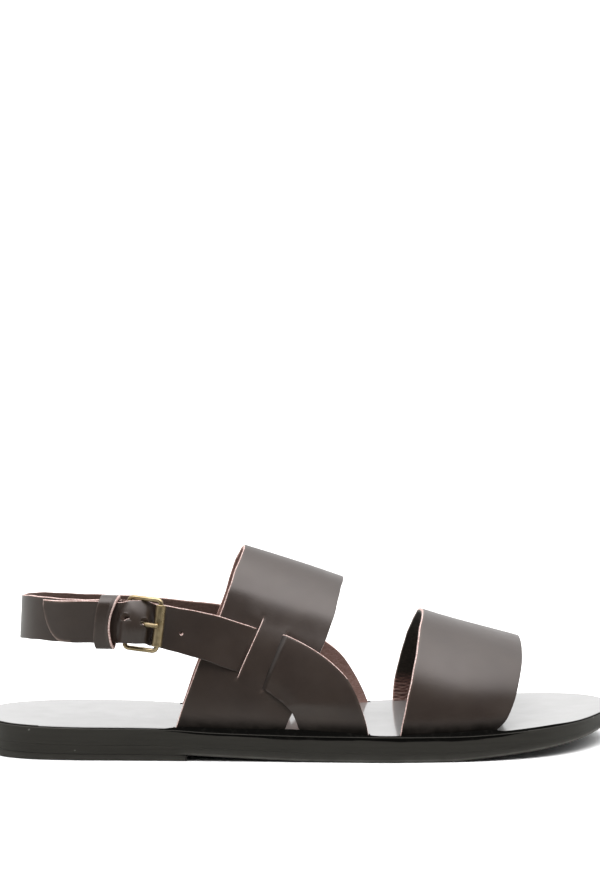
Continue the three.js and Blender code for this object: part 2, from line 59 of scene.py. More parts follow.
# Straps
LEATHER = 2.1
GAP = 0.3
STRAP_INSET = 2.9
NOTCH_EASE = 0.05
MEDIAL_FOOT_FORWARD = 8
MEDIAL_BRIDGE_FORWARD = 1.5
MEDIAL_DROP = 0.012
TIP_ROWS = 0.95
TIP_SQUARE = 0.15
TIP_BULGE = 0.72
PUNCH_DIAMETER = 2.0
PUNCH_MARGIN = 0.9  # from a hole to the faces that are kept
PUNCH_REACH = 12
TUCK = 1.2  # how far the straps turn in at their feet
TUCK_HEIGHT = 6
BRIDGE_DIP = 3.0  # how far a strap sinks where it passes under a bridge
BRIDGE_SINKS = (-1.2, 0.9)  # depths past a slit between which it sinks
BRIDGE_SHADE_DEPTHS = (-1.8, -0.6)  # depths between which painted shade turns it black
# How black the painted shade under a bridge gets
SLIT_SHADE_DARKNESS = 0.85
BRIDGE_SPREAD = 6  # how far beside a bridge the band is lifted
BAND_WIDTH = 46
INSTEP_PULL = 1.2  # how far the buckle strap pulls the instep's lateral side in
PULL_GROWS, PULL_FADES = (0, 0.16), (0.215, 0.295)  # by girth
PULL_ENDS = (24, 36)  # by x

# Buckle
WIRE = 2.1
FRAME_HALF_HEIGHT = 10.9
FRAME_CORNER = 1.9
ROLLER_DIAMETER = 4.6
ROLLER_LENGTH = 18
PRONG = 2.4
PRONG_PAST_ROLLER = 1.2
PRONG_TIP = 0.07  # rounded share of its length
FOLD = 1
FOLD_LENGTH = 4
ROLLER_ROW = 5.7
HEEL_STRAP_END = 9.8

# Keeper loop
KEEPER_WIDTH = 9.2
KEEPER_LEATHER = 1.7
KEEPER_CORNER = 2.8
KEEPER_ROW = 9.33
KEEPER_HALF_HEIGHT = 9.9
KEEPER_DEPTH = 7.9
KEEPER_SHIFT = 3.2
# Keeper edges facing this side show a pale line of painted light
KEEPER_LIT_EDGE_SIDE = (0.9, -0.3, 0.3)


def table(columns, rows):
    """Rows of numbers under named columns, as one array per column."""
    return dict(zip(columns.split(), np.array(rows, float).T))


OUTLINE = table("along lateral medial", [
    (0, 4, 4), (8, -18.5, 26), (20, -26.5, 35), (40, -31, 39.5), (62, -33.5, 37.5), (85, -36.3, 32.4),
    (110, -39.5, 29.8), (145, -44.3, 34), (185, -48.4, 43.5), (215, -47.6, 48.4), (240, -41.5, 48),
    (258, -30.5, 43.5), (271, -15.5, 34), (LENGTH, 10, 10),
])
PROFILE = table("x underside top", [
    (-140, 3.4, 15.5), (-105, 2.9, 14.7), (-60, 2.7, 14.3), (-40, 1.8, 13.2), (-15, 0.7, 12.5), (8, 0, 12.1),
    (59, 0, 11.9), (75, 1.1, 12.2), (98, 3, 13.2), (120, 5.4, 14.2), (140, 9, 15.6),
])
LAST = table("x ridge_height ridge_y", [
    (-60, 96.5, 5), (-25, 86.6, 5), (18, 72.2, 4.5), (53, 57.5, 4), (98, 44, 6),
])
FRONT_STRAP = table("girth rear front", [
    (0, 39.1, 78.8), (0.03, 39.9, 82.2), (0.05, 40.6, 85.1), (0.08, 41.7, 87.3), (0.12, 43.3, 89.3),
    (0.16, 44.8, 90.8), (0.3, 49, 94.9), (0.5, 53.4, 97.4), (0.6, 53.1, 97.7), (0.69, 52.1, 97.8),
    (0.76, 50.7, 96.9), (0.82, 49.2, 95.5), (0.88, 47.5, 93.2), (0.94, 46.1, 89.8), (1, 45.5, 85.5),
])
INSTEP_BAND = table("girth rear front", [
    (0, -57.6, -11.2), (0.13, -45.7, 1.2), (0.22, -37.4, 8.8), (0.32, -31, 13.8), (0.5, -25, 18.5),
    (0.68, -29, 16), (0.78, -33.4, 11.8), (0.87, -40.5, 5), (1, -51.6, -5.6),
])
WING = table("low_x low_girth high_x high_girth lift", [
    (-2.2, 0, 26.4, 0, 0), (-6, 0.046, 24.6, 0.046, 0.9), (-9.4, 0.0635, 21.2, 0.094, 1.85),
    (-12.6, 0.0733, 15.8, 0.14, 1.85), (-15.6, 0.0815, 5.6, 0.178, 1.85), (-18.7, 0.0895, -8.2, 0.204, 1.85),
    (-30.3, 0.115, -20.6, 0.211, 1.85),
])
# The slits of the band: their place across it, and how far its rows lean, along its girth
SLITS = table("level rear front lean", [
    (0, 0.387, 0.645, 0), (0.0945, 0.386, 0.648, -0.0664), (0.2275, 0.388, 0.637, -0.0664),
    (0.4, 0.375, 0.62, 0), (0.6, 0.37, 0.615, 0), (0.7845, 0.362, 0.609, 0.0664),
    (0.9175, 0.33, 0.595, 0.0664), (1, 0.33, 0.595, 0),
])
BRIDGE_LEVELS = ((0.0945, 0.2275), (0.7845, 0.9175))
# Rise of the bridge along its slits, which reaches a little past their ends
BRIDGE_RISE = table("share rise", [(-0.5, 0), (0, 0.5), (0.5, 1), (1, 0.5), (1.5, 0)])
# Ends of the lateral slits on the last
SLIT_LINES = table("x_from girth_from x_to girth_to", [
    (-30.2, 0.103, -18.3, 0.236), (-19.4, 0.086, -8.1, 0.219),
])
HEEL_STRAP = table("x y z lean width", [
    (-20, 25.5, 45.6, 8.7, 21), (-38, 25.5, 49.5, 8.5, 20), (-62, 29.8, 52.2, 8, 18.8),
    (-84, 30.2, 53.7, 5, 18.8), (-103, 24.5, 55.5, 3, 18.8), (-115.6, 13.5, 57.4, 3, 18.8),
    (-120.6, 0, 58.8, 3, 18.8), (-116, -13.5, 60, 3, 18.8), (-104, -24, 60.4, 3, 18.8),
    (-90, -29.2, 60.5, 3, 18.5), (-77, -31, 60.4, 4, 18.4),
])
BUCKLE_STRAP = table("x y z lean width", [
    (-112.3, -21.4, 60.2, 3, 17.8), (-103.5, -27.2, 60.4, 3, 17.8), (-93, -31, 60.7, 3, 17.8),
    (-85.5, -33.5, 60.8, 3, 17.8), (-77, -36.1, 60.5, 4, 17.8), (-70, -35.3, 59.9, 5, 18),
    (-63, -33.7, 58.6, 6, 18.4), (-52, -32, 55.8, 11, 19.2), (-41.5, -30.9, 52.6, 15, 20),
    (-25.5, -30.8, 47, 17, 21), (-19.5, -30.9, 44.9, 18, 21.2),
])
# Holes in the buckle strap: row of its table, place above the middle of its width, half length along it
PUNCHES = table("row up half_length", [(3.97, 1.7, 1.3), (6.8, -1, 1), (4.75, 0.3, 1.5)])


def curve(xs, ys):
    """A smooth curve through points, level at its turning points."""
    steps = np.diff(ys) / np.diff(xs)
    slopes = np.empty_like(ys)
    slopes[0], slopes[-1] = steps[0], steps[-1]
    slopes[1:-1] = (ys[2:] - ys[:-2]) / (xs[2:] - xs[:-2])
    slopes[1:-1][steps[:-1] * steps[1:] <= 0] = 0

    def value(x):
        i = np.clip(np.searchsorted(xs, x, side="right") - 1, 0, len(xs) - 2)
        span = xs[i + 1] - xs[i]
        t = np.clip((x - xs[i]) / span, 0, 1)
        sway = t * (1 - t) ** 2 * slopes[i] - t * t * (1 - t) * slopes[i + 1]
        return ys[i] + (ys[i + 1] - ys[i]) * t * t * (3 - 2 * t) + sway * span

    return value


def curves(rows, at):
    """Every column of a table as a smooth function of the column at."""
    return {key: curve(rows[at], ys) for key, ys in rows.items() if key != at}


def row_curves(rows):
    """Every column of a table as a smooth function of the row number."""
    count = len(next(iter(rows.values())))
    return curves({**rows, "row": np.arange(count, dtype=float)}, "row")


def unit(vectors):
    return vectors / np.linalg.norm(vectors, axis=-1, keepdims=True)


def mix(a, b, share):
    return a + (b - a) * share


def ease(low, high, x):
    """Smooth step from 0 at low to 1 at high."""
    t = np.clip((np.asarray(x, float) - low) / (high - low), 0, 1)
    return t * t * (3 - 2 * t)


def bell(x, centre, spread):
    """1 at the centre, falling off on both sides."""
    return np.exp(-(((x - centre) / spread) ** 2))


def ripple(x, waves):
    """A sum of sines: (wavelength, height, phase) each."""
    return sum(height * np.sin(2 * np.pi * x / length + phase) for length, height, phase in waves)


def stepped(marks, counts):
    """So many even steps between each two marks."""
    spans = [np.linspace(a, b, n, endpoint=False) for a, b, n in zip(marks, marks[1:], counts)]
    return np.concatenate([*spans, marks[-1:]])


# Sole in plan and profile. The turn runs from 0 at the heel to pi at the toe.
def turn_at(x):
    return np.arccos(np.clip(-2 * np.asarray(x, float) / LENGTH, -1, 1))


def x_of_turn(turn):
    return -LENGTH / 2 * np.cos(turn)


outline_turns = turn_at(OUTLINE["along"] - LENGTH / 2)
lateral_of_turn = curve(outline_turns, OUTLINE["lateral"])
medial_of_turn = curve(outline_turns, OUTLINE["medial"])
profile = curves(PROFILE, "x")
last_ridge = curves(LAST, "x")
underside_at = profile["underside"]
top_at = profile["top"]


def midsole_top_at(x):
    return top_at(x) - INSOLE


def outsole_top_at(x):
    return mix(underside_at(x), midsole_top_at(x), OUTSOLE_SHARE)


def last_surface(x, girth):
    """A point of the last: half an ellipse over the sole at each x, from its lateral to its medial foot."""
    turn = turn_at(x)
    ridge_y = last_ridge["ridge_y"](x)
    lateral_reach = ridge_y - lateral_of_turn(turn) - STRAP_INSET
    medial_reach = medial_of_turn(turn) - ridge_y - STRAP_INSET
    reach = np.where(girth < 0.5, lateral_reach, medial_reach)
    foot = midsole_top_at(x) + GAP
    height = (last_ridge["ridge_height"](x) - foot) * np.sin(np.pi * girth)
    return np.stack([x, ridge_y - reach * np.cos(np.pi * girth), foot + height], -1)


def last_point(x, girth, lift):
    """The same point lifted off the last along its normal; straps turn in at their feet and are pulled in."""
    x, girth, lift = np.broadcast_arrays(np.asarray(x, float), girth, lift)
    x_step, girth_step = 0.1, 0.001
    along_x = last_surface(x + x_step, girth) - last_surface(x - x_step, girth)
    along_girth = last_surface(x, girth + girth_step) - last_surface(x, girth - girth_step)
    normal = unit(np.cross(along_x, along_girth))
    place = last_surface(x, girth)
    height = place[..., 2] - midsole_top_at(x)
    tuck = TUCK * np.clip(1 - height / TUCK_HEIGHT, 0, 1) ** 2
    is_pulled = ease(*PULL_GROWS, girth) * (1 - ease(*PULL_FADES, girth)) * (1 - ease(*PULL_ENDS, x))
    return place + normal * (lift - tuck - INSTEP_PULL * is_pulled)[..., None]


def spline(points):
    """A centripetal Catmull-Rom curve through points, by row number."""
    padded = np.vstack([2 * points[0] - points[1], points, 2 * points[-1] - points[-2]])
    spans = np.linalg.norm(np.diff(padded, axis=0), axis=1) ** 0.5

    def at(row):
        i = np.clip(np.floor(row).astype(int), 0, len(points) - 2)
        t = (row - i)[..., None]
        p0, p1, p2, p3 = (padded[i + k] for k in range(4))
        d0, d1, d2 = (spans[i + k][..., None] for k in range(3))
        m1 = ((p1 - p0) / d0 - (p2 - p0) / (d0 + d1) + (p2 - p1) / d1) * d1
        m2 = ((p2 - p1) / d1 - (p3 - p1) / (d1 + d2) + (p3 - p2) / d2) * d1
        return p1 + m1 * t + (3 * (p2 - p1) - 2 * m1 - m2) * t**2 + (2 * (p1 - p2) + m1 + m2) * t**3

    return at


class StrapPath:
    """Place and directions on a free strap: along it, up its width, and out of its smooth face."""

    def __init__(self, rows):
        self.line = spline(np.stack([rows[axis] for axis in "xyz"], -1))
        self.columns = row_curves(rows)
        self.end = len(rows["x"]) - 1

    def frame(self, row):
        row = np.asarray(row, float)
        step = 1e-3
        ahead = self.line(np.minimum(row + step, self.end))
        along = unit(ahead - self.line(np.maximum(row - step, 0)))
        level = unit(np.cross(along, UP))
        upright = np.cross(level, along)
        lean = np.radians(self.columns["lean"](row))[..., None]
        up = upright * np.cos(lean) - level * np.sin(lean)
        out = level * np.cos(lean) + upright * np.sin(lean)
        return self.line(row), along, up, out

    def half_width(self, row):
        return self.columns["width"](np.asarray(row, float)) / 2

    def section(self, rows, lows, highs, count, is_medial):
        """Points across the strap at each row, from its lower to its upper edge in half widths."""
        centre, _, up, out = self.frame(rows)
        half_width = self.half_width(rows)[:, None]
        across = mix(lows[:, None], highs[:, None], np.linspace(0, 1, count)) * half_width
        points = centre[:, None] + up[:, None] * across[..., None]
        return points - out[:, None] * bridge_dip(points, is_medial)[..., None]


heel_path = StrapPath(HEEL_STRAP)
buckle_path = StrapPath(BUCKLE_STRAP)


def bridge_depth(points, is_medial):
    """How far points lie inside a bridge, past its nearer slit."""
    ends = np.stack(list(SLIT_LINES.values()), -1).reshape(2, 2, 2)
    x, girth = ends[..., 0], ends[..., 1]
    if is_medial:
        x, girth = x + MEDIAL_BRIDGE_FORWARD, 1 - girth + MEDIAL_DROP
    rear, front = last_point(x, girth, LEATHER)
    centre = (rear.mean(0) + front.mean(0)) / 2
    depths = []
    for start, end in (rear, front):
        along = unit(end - start)
        to_centre = centre - start
        inward = unit(to_centre - along * (to_centre @ along))
        depths.append((points - start) @ inward)
    return np.minimum(*depths)


def bridge_slit_shade(points, is_medial):
    """How black painted shade makes a strap at points where it goes under a bridge."""
    return SLIT_SHADE_DARKNESS * ease(*BRIDGE_SHADE_DEPTHS, bridge_depth(points, is_medial))


def bridge_dip(points, is_medial):
    """How far a strap sinks at points on its way under a bridge."""
    return BRIDGE_DIP * ease(*BRIDGE_SINKS, bridge_depth(points, is_medial))


# Materials
class Nodes:
    """Shader nodes of one tree, each added with settings and with values or outputs as its inputs."""

    def __init__(self, tree):
        self.tree = tree

    def add(self, kind, inputs=None, **settings):
        node = self.tree.nodes.new(kind)
        for key, value in settings.items():
            setattr(node, key, value)
        for key, value in (inputs or {}).items():
            if isinstance(value, bpy.types.NodeSocket):
                self.tree.links.new(value, node.inputs[key])
            else:
                node.inputs[key].default_value = value
        return node.outputs

    def math(self, operation, *values):
        return self.add("ShaderNodeMath", dict(enumerate(values)), operation=operation)[0]

    def times(self, first, second):
        return self.math("MULTIPLY", first, second)

    def plus(self, first, second):
        return self.math("ADD", first, second)

    def remap(self, value, low, high, to_low, to_high, kind="LINEAR"):
        inputs = {"Value": value, "From Min": low, "From Max": high, "To Min": to_low, "To Max": to_high}
        return self.add("ShaderNodeMapRange", inputs, interpolation_type=kind)["Result"]

    def is_seen(self):
        """1 for what the camera sees directly."""
        return self.add("ShaderNodeLightPath")["Is Camera Ray"]


class Finish(Nodes):
    """A procedural material on the object's own coordinates, in metres."""

    def __init__(self, name, **constants):
        self.material = bpy.data.materials.new(name)
        self.material.use_nodes = True
        super().__init__(self.material.node_tree)
        self.shader = self.tree.nodes["Principled BSDF"]
        self.place = self.add("ShaderNodeTexCoord")["Object"]
        self.relief = {}
        for key, value in constants.items():
            self.shader.inputs[key.replace("_", " ")].default_value = value

    def stretched(self, scale):
        return self.add("ShaderNodeMapping", {"Vector": self.place, "Scale": scale})["Vector"]

    def noise(self, scale, detail, place=None, distortion=0):
        inputs = {"Vector": place or self.place, "Scale": scale, "Detail": detail, "Distortion": distortion}
        return self.add("ShaderNodeTexNoise", inputs)["Fac"]

    def patches(self, scale, detail, low=0.3, high=0.7, to_low=0, to_high=1, **noise):
        """Noise, with its values from low to high spread from to_low to to_high."""
        return self.remap(self.noise(scale, detail, **noise), low, high, to_low, to_high)

    def cells(self, scale):
        inputs = {"Vector": self.place, "Scale": scale}
        return self.add("ShaderNodeTexVoronoi", inputs, feature="DISTANCE_TO_EDGE")["Distance"]

    def attribute(self, name):
        return self.add("ShaderNodeAttribute", attribute_name=name)["Fac"]

    def blend(self, share, *colours):
        first, second = (c if isinstance(c, bpy.types.NodeSocket) else (*c, 1) for c in colours)
        return self.add("ShaderNodeMix", {0: share, 6: first, 7: second}, data_type="RGBA")[2]

    def bump(self, value, distance_mm, strength):
        """Relief on top of the relief so far."""
        inputs = {**self.relief, "Height": value, "Distance": distance_mm * MM, "Strength": strength}
        normal = self.add("ShaderNodeBump", inputs)["Normal"]
        self.relief = {"Normal": normal}
        self.set("Normal", normal)

    def set(self, name, value):
        self.tree.links.new(value, self.shader.inputs[name])


def leather_finish():
    """Smooth dark brown leather: satin, with fine pores, edges lightened by wear and painted light, and
    painted shade that blackens it at its feet and under the bridges.
    """
    f = Finish("strap_leather", Specular_IOR_Level=0.5)
    brown = f.blend(f.patches(70, 5), (0.0255, 0.0175, 0.0143), (0.0335, 0.0236, 0.0189))
    # Lighter brown along the edges: wear, and painted light on the upper edges
    worn = f.times(f.attribute("wear"), f.patches(400, 3, high=0.6, to_low=0.4))
    worn_and_lit_brown = f.blend(worn, brown, (0.30, 0.215, 0.185))
    # Near-black and duller towards the sole and under the bridges: painted shade, with its reflection dimmed
    # too
    foot_shaded = f.times(f.attribute("soil"), f.patches(160, 4, to_low=0.75))
    blackened = f.plus(foot_shaded, f.attribute("crease"))
    f.set("Base Color", f.blend(blackened, worn_and_lit_brown, (0.005, 0.0042, 0.0035)))
    f.set("Specular Tint", f.blend(blackened, (1, 0.94, 0.925), (0.1, 0.095, 0.09)))
    satin = f.patches(120, 4, to_low=0.28, to_high=0.35)
    f.set("Roughness", f.plus(satin, f.times(foot_shaded, 0.6)))
    f.bump(f.cells(1500), 0.05, 0.25)
    f.bump(f.noise(2600, 3), 0.03, 0.3)
    f.bump(f.noise(90, 3), 0.12, 0.35)
    return f.material


def raw_edge_finish():
    """The pale pink cut edge of the leather, with darker fibres."""
    f = Finish("raw_edge", Roughness=0.85, Specular_IOR_Level=0.25, Sheen_Weight=0.15)
    fibres = f.patches(1400, 4, 0.4, 0.64)
    f.set("Base Color", f.blend(fibres, (0.78, 0.60, 0.56), (0.42, 0.25, 0.22)))
    f.bump(f.noise(2200, 3), 0.1, 0.6)
    return f.material


def flesh_finish():
    """The napped flesh side, near-black, red-brown or pink by its tone attribute: its own colour, darkened
    with painted shade inside the straps and with painted light and shade on the front strap's creases.
    """
    f = Finish("flesh_side", Roughness=0.95, Specular_IOR_Level=0.15, Sheen_Weight=0.1, Sheen_Roughness=0.6)
    fibres = f.patches(900, 6, place=f.stretched((0.5, 0.5, 1.6)), distortion=1.5)
    red = f.blend(f.patches(60, 3, 0.35, 0.65), (0.15, 0.066, 0.05), (0.21, 0.105, 0.085))
    worn = f.blend(fibres, red, (0.33, 0.185, 0.155))
    pink = f.blend(fibres, (0.40, 0.245, 0.21), (0.60, 0.42, 0.375))
    dark = f.blend(fibres, (0.020, 0.015, 0.011), (0.040, 0.031, 0.024))
    bare = f.attribute("bare")
    darker_half = f.blend(f.remap(bare, 0, 0.5, 0, 1), dark, worn)
    f.set("Base Color", f.blend(f.remap(bare, 0.5, 1, 0, 1), darker_half, pink))
    f.bump(f.noise(1300, 5), 0.16, 0.7)
    return f.material


def sole_edge_finish():
    """The near-black waxed edge of the sole: faint streaks, a few pale specks, a paler lowest edge, and
    painted shade that turns it black beside the grooves.
    """
    f = Finish("sole_edge", Specular_IOR_Level=0.35, Specular_Tint=(1, 0.97, 0.91, 1))
    streaks = f.patches(1, 5, place=f.stretched((28, 28, 900)))
    black = f.blend(f.patches(45, 3, 0.35, 0.65), (0.0135, 0.012, 0.010), (0.0175, 0.0157, 0.0133))
    streaked = f.blend(streaks, black, (0.0205, 0.0185, 0.0158))
    speckled = f.blend(f.patches(330, 1, 0.79, 0.83, 0, 0.2), streaked, (0.45, 0.44, 0.42))
    # Tone below 0 pales the lowest edge; tone above 0 turns it near-black as painted shade
    tone = f.attribute("tone")
    low_edge_paling = f.times(f.remap(tone, 0, -1, 0, 1), f.patches(140, 4, to_low=0.45))
    low_edge_paled = f.blend(low_edge_paling, speckled, (0.13, 0.124, 0.115))
    f.set("Base Color", f.blend(f.remap(tone, 0, 1, 0, 1), low_edge_paled, (0.0025, 0.0022, 0.0018)))
    f.set("Roughness", f.patches(1, 4, to_low=0.40, to_high=0.50, place=f.stretched((40, 40, 500))))
    f.bump(streaks, 0.02, 0.4)
    f.bump(f.noise(700, 4), 0.05, 0.4)
    return f.material


def sole_groove_shade_finish():
    """The matt black of the sole's open seams and rim top, painted shade there, with a little grey dust."""
    f = Finish("sole_groove_shade", Roughness=0.95, Specular_IOR_Level=0.08)
    dust = f.patches(420, 4, 0.55, 0.8, 0, 0.6)
    f.set("Base Color", f.blend(dust, (0.0022, 0.002, 0.0016), (0.016, 0.0145, 0.0125)))
    f.bump(f.noise(900, 4), 0.08, 0.5)
    return f.material


def insole_finish():
    """Pale grey smooth leather, polished."""
    f = Finish("insole_leather", Specular_IOR_Level=0.4, Coat_Weight=1.0, Coat_Roughness=0.1)
    pale = f.blend(f.patches(28, 4), (0.2, 0.197, 0.194), (0.24, 0.237, 0.233))
    pores = f.patches(1500, 3, 0.55, 0.75, 0, 0.35)
    f.set("Base Color", f.blend(pores, pale, (0.165, 0.161, 0.158)))
    f.set("Roughness", f.patches(60, 4, to_low=0.35, to_high=0.48))
    f.bump(f.cells(1200), 0.03, 0.2)
    f.bump(f.noise(60, 3), 0.1, 0.2)
    return f.material


def brass_finish():
    """Antique brass: bright and dull brown in random patches."""
    f = Finish("antique_brass", Metallic=1.0)
    patina = f.patches(260, 5, 0.35, 0.65)
    f.set("Base Color", f.blend(patina, (0.405, 0.316, 0.192), (0.234, 0.179, 0.099)))
    f.set("Roughness", f.patches(500, 4, to_low=0.26, to_high=0.42))
    f.bump(f.noise(900, 4), 0.05, 0.35)
    return f.material


LEATHER_SET = [leather_finish(), raw_edge_finish(), flesh_finish()]
SOLE_SET = [sole_edge_finish(), sole_groove_shade_finish()]
INSOLE_SET = [insole_finish(), SOLE_SET[0], SOLE_SET[0]]
BRASS_FINISH = brass_finish()


# Meshes
def add_object(name, data):
    thing = bpy.data.objects.new(name, data)
    bpy.context.scene.collection.objects.link(thing)
    return thing


def add_piece(name, points, faces, materials, face_materials, node, slot, **attributes):
    """A piece from points in millimetres, riding on the part and standing for a CAD node."""
    mesh = bpy.data.meshes.new(name)
    mesh.from_pydata((points * MM).tolist(), [], [tuple(map(int, face)) for face in faces])
    for material in materials:
        mesh.materials.append(material)
    mesh.polygons.foreach_set("material_index", np.asarray(face_materials, np.int32))
    mesh.polygons.foreach_set("use_smooth", np.ones(len(faces), bool))
    for key, values in attributes.items():
        layer = mesh.attributes.new(key, "FLOAT", "POINT")
        layer.data.foreach_set("value", np.asarray(values, np.float32))
    mesh.validate()
    mesh.update()
    piece = add_object(name, mesh)
    piece.modifiers.new("even_normals", "WEIGHTED_NORMAL").keep_sharp = True
    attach(piece, "root")
    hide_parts(node)


def vertex_normals(points, faces):
    """Mean of the normals of the faces round each point."""
    normals = np.zeros_like(points)
    for face in faces:
        corners = points[list(face)]
        normal = np.cross(corners[2] - corners[0], corners[-1] - corners[1])
        normals[list(face)] += normal
    return unit(normals)


# Profile of a cut edge between its faces: out of the edge in roundings, up in thicknesses and in roundings
RIM = table("out up round_up", [(-0.3, 1, -0.3), (0, 1, -1), (0.15, 0.5, 0), (0, 0, 1), (-0.3, 0, 0.3)])
# Materials across the profile: leather, raw edge and flesh side by number; a pale edge's raw edge on its
# rounding is painted light, a dark edge's flesh side on its wall painted shade
RIM_MATERIALS = {"plain": (0, 0, 1, 1, 2, 2), "pale": (1, 1, 1, 2, 2, 2), "dark": (0, 0, 2, 2, 2, 2)}
LIT_EDGE_SIDE = np.array([-0.45, 0, 0.9])  # edges facing this side show a pale line: painted light
LIT_EDGE_FACING = (-0.1, 0.35)  # from no pale line to a full one
# In holes, walls facing the lit side are pale with painted light, and the rest dark with painted shade
LIT_FACING_IN_HOLES = (0.5, 0.95)
SHADED_EDGE_FACING = -0.65  # edges that face further down get dark walls: painted shade
PALE_ROUNDING = 0.33
MOST_ROUNDING = 0.3  # of the thickness
HOLE_FUNNEL = 0.6  # how much narrower a hole is on the flesh side
WEAR_REACH = 0.35  # how far wear and painted edge light go in from an edge
FOOT_SHADE_FADES = (4.2, 9.5)  # heights above the midsole over which the painted shade at the straps' feet fades out


def sheet_edges(points, faces, normals):
    """The open edges of a sheet, the points on them, and the directions out of the sheet there."""
    edges = {(face[k - 1], face[k]) for face in faces for k in range(len(face))}
    rim_edges = sorted((a, b) for a, b in edges if (b, a) not in edges)
    outward = np.zeros_like(points)
    for a, b in rim_edges:
        direction = unit(np.cross(points[b] - points[a], normals[a] + normals[b]))
        outward[a] += direction
        outward[b] += direction
    on_rim = np.unique(rim_edges)
    outward[on_rim] = unit(outward[on_rim])
    return rim_edges, on_rim, outward


def edge_wear_and_light(points, on_rim, outward, rubbed):
    """Wear along a sheet's edges, with lower edges spared unless they are much rubbed, so that on upper edges
    it is also painted light.
    """
    rim_points = points[on_rim]
    distances = [((rim_points - point) ** 2).sum(-1) for point in points]
    away = np.sqrt([d.min() for d in distances])
    nearest_up = outward[on_rim, 2][[d.argmin() for d in distances]]
    return np.exp(-away / WEAR_REACH) * rubbed * np.where(rubbed > 0.5, 1, ease(-0.3, 0.1, nearest_up))


def add_sheet(name, points, faces, node="instep_straps", slot="strap_leather", materials=LEATHER_SET,
              thickness=LEATHER, rounding=0.12, inner_shift=0, bare=0.5, rubbed=0.12, slit_shaded=0,
              lit_edge_side=LIT_EDGE_SIDE, pale_share=1, hole_points=0):
    """A sheet of leather from the points of its inner face: smooth outside, cut edges, flesh side inside.

    For the whole sheet or each point, the flesh tone, rubbed and the slit shade say how red the flesh side
    is, in its own colour and in painted shade, how worn the edges are and how black painted shade makes a
    strap under a bridge. inner_shift moves the flesh side, and pale_share thins the pale line, painted light,
    of the edges that face the lit side. The last hole_points lie round holes, whose walls are dark with
    painted shade but for their lower side, pale with painted light.
    """
    points = np.reshape(points, (-1, 3))
    total = len(points)
    used = np.unique(np.concatenate(list(faces.values())))
    faces = [tuple(np.searchsorted(used, face)) for face in faces.values()]
    points = points[used]
    inner_shift, bare, rubbed, pale_share, slit_shaded = (
        np.broadcast_to(np.ravel(value), total)[used]
        for value in (inner_shift, bare, rubbed, pale_share, slit_shaded))
    normals = vertex_normals(points, faces)
    rim_edges, on_rim, outward = sheet_edges(points, faces, normals)

    # Edges that face the lit side get a pale line of painted light, and edges facing down dark walls of
    # painted shade
    is_hole = used >= total - hole_points
    facing = outward @ lit_edge_side
    pale = np.where(is_hole, ease(*LIT_FACING_IN_HOLES, facing), ease(*LIT_EDGE_FACING, facing)) * pale_share
    is_shaded_edge = np.where(is_hole, pale < 0.5, outward[:, 2] < SHADED_EDGE_FACING)
    funnel = np.where(is_hole, HOLE_FUNNEL, 0)[:, None]
    round_by = np.minimum(mix(rounding, PALE_ROUNDING, pale), MOST_ROUNDING * thickness)[:, None]
    inset = points - outward * round_by
    layers = [inset + normals * thickness, inset + outward * funnel + normals * inner_shift[:, None]]
    for out, up, round_up in zip(*RIM.values()):
        sideways = out * round_by + (1 - up) * funnel
        upward = up * thickness + round_up * round_by
        layers.append((points + outward * sideways + normals * upward)[on_rim])

    # Numbers of the points from the outer face across an edge to the inner face
    count, steps = len(points), len(RIM["out"])
    across_edge = np.zeros((steps + 2, count), int)
    across_edge[0] = np.arange(count)
    across_edge[-1] = count + np.arange(count)
    across_edge[1:-1, on_rim] = 2 * count + np.arange(steps * len(on_rim)).reshape(steps, -1)
    all_faces = faces + [tuple(count + a for a in reversed(face)) for face in faces]
    face_materials = [0] * len(faces) + [2] * len(faces)
    for a, b in rim_edges:
        kind = "pale" if pale[a] + pale[b] > 1 else "dark" if is_shaded_edge[a] and is_shaded_edge[b] else "plain"
        for here, there, material in zip(across_edge, across_edge[1:], RIM_MATERIALS[kind]):
            all_faces.append((here[a], there[a], there[b], here[b]))
            face_materials.append(material)

    # Painted shade darkens the sheet towards the sole; wear and painted light lighten its upper edges
    height = points[:, 2] - midsole_top_at(points[:, 0])
    wear = edge_wear_and_light(points, on_rim, outward, rubbed)
    attributes = {"wear": wear, "soil": 1 - ease(*FOOT_SHADE_FADES, height), "crease": slit_shaded, "bare": bare}
    for key, values in attributes.items():
        attributes[key] = np.concatenate([values, values, *[values[on_rim]] * steps])
    add_piece(name, np.vstack(layers), all_faces, materials, face_materials, node, slot, **attributes)


def grid_faces(rows, columns, close_rows=False, close_columns=False, flip=False):
    """Quads over a grid of points that are counted row by row."""
    faces = {}
    for i in range(rows if close_rows else rows - 1):
        here, there = i * columns, (i + 1) % rows * columns
        for j in range(columns if close_columns else columns - 1):
            after = (j + 1) % columns
            face = (here + j, here + after, there + after, there + j)
            faces[i, j] = face[::-1] if flip else face
    return faces


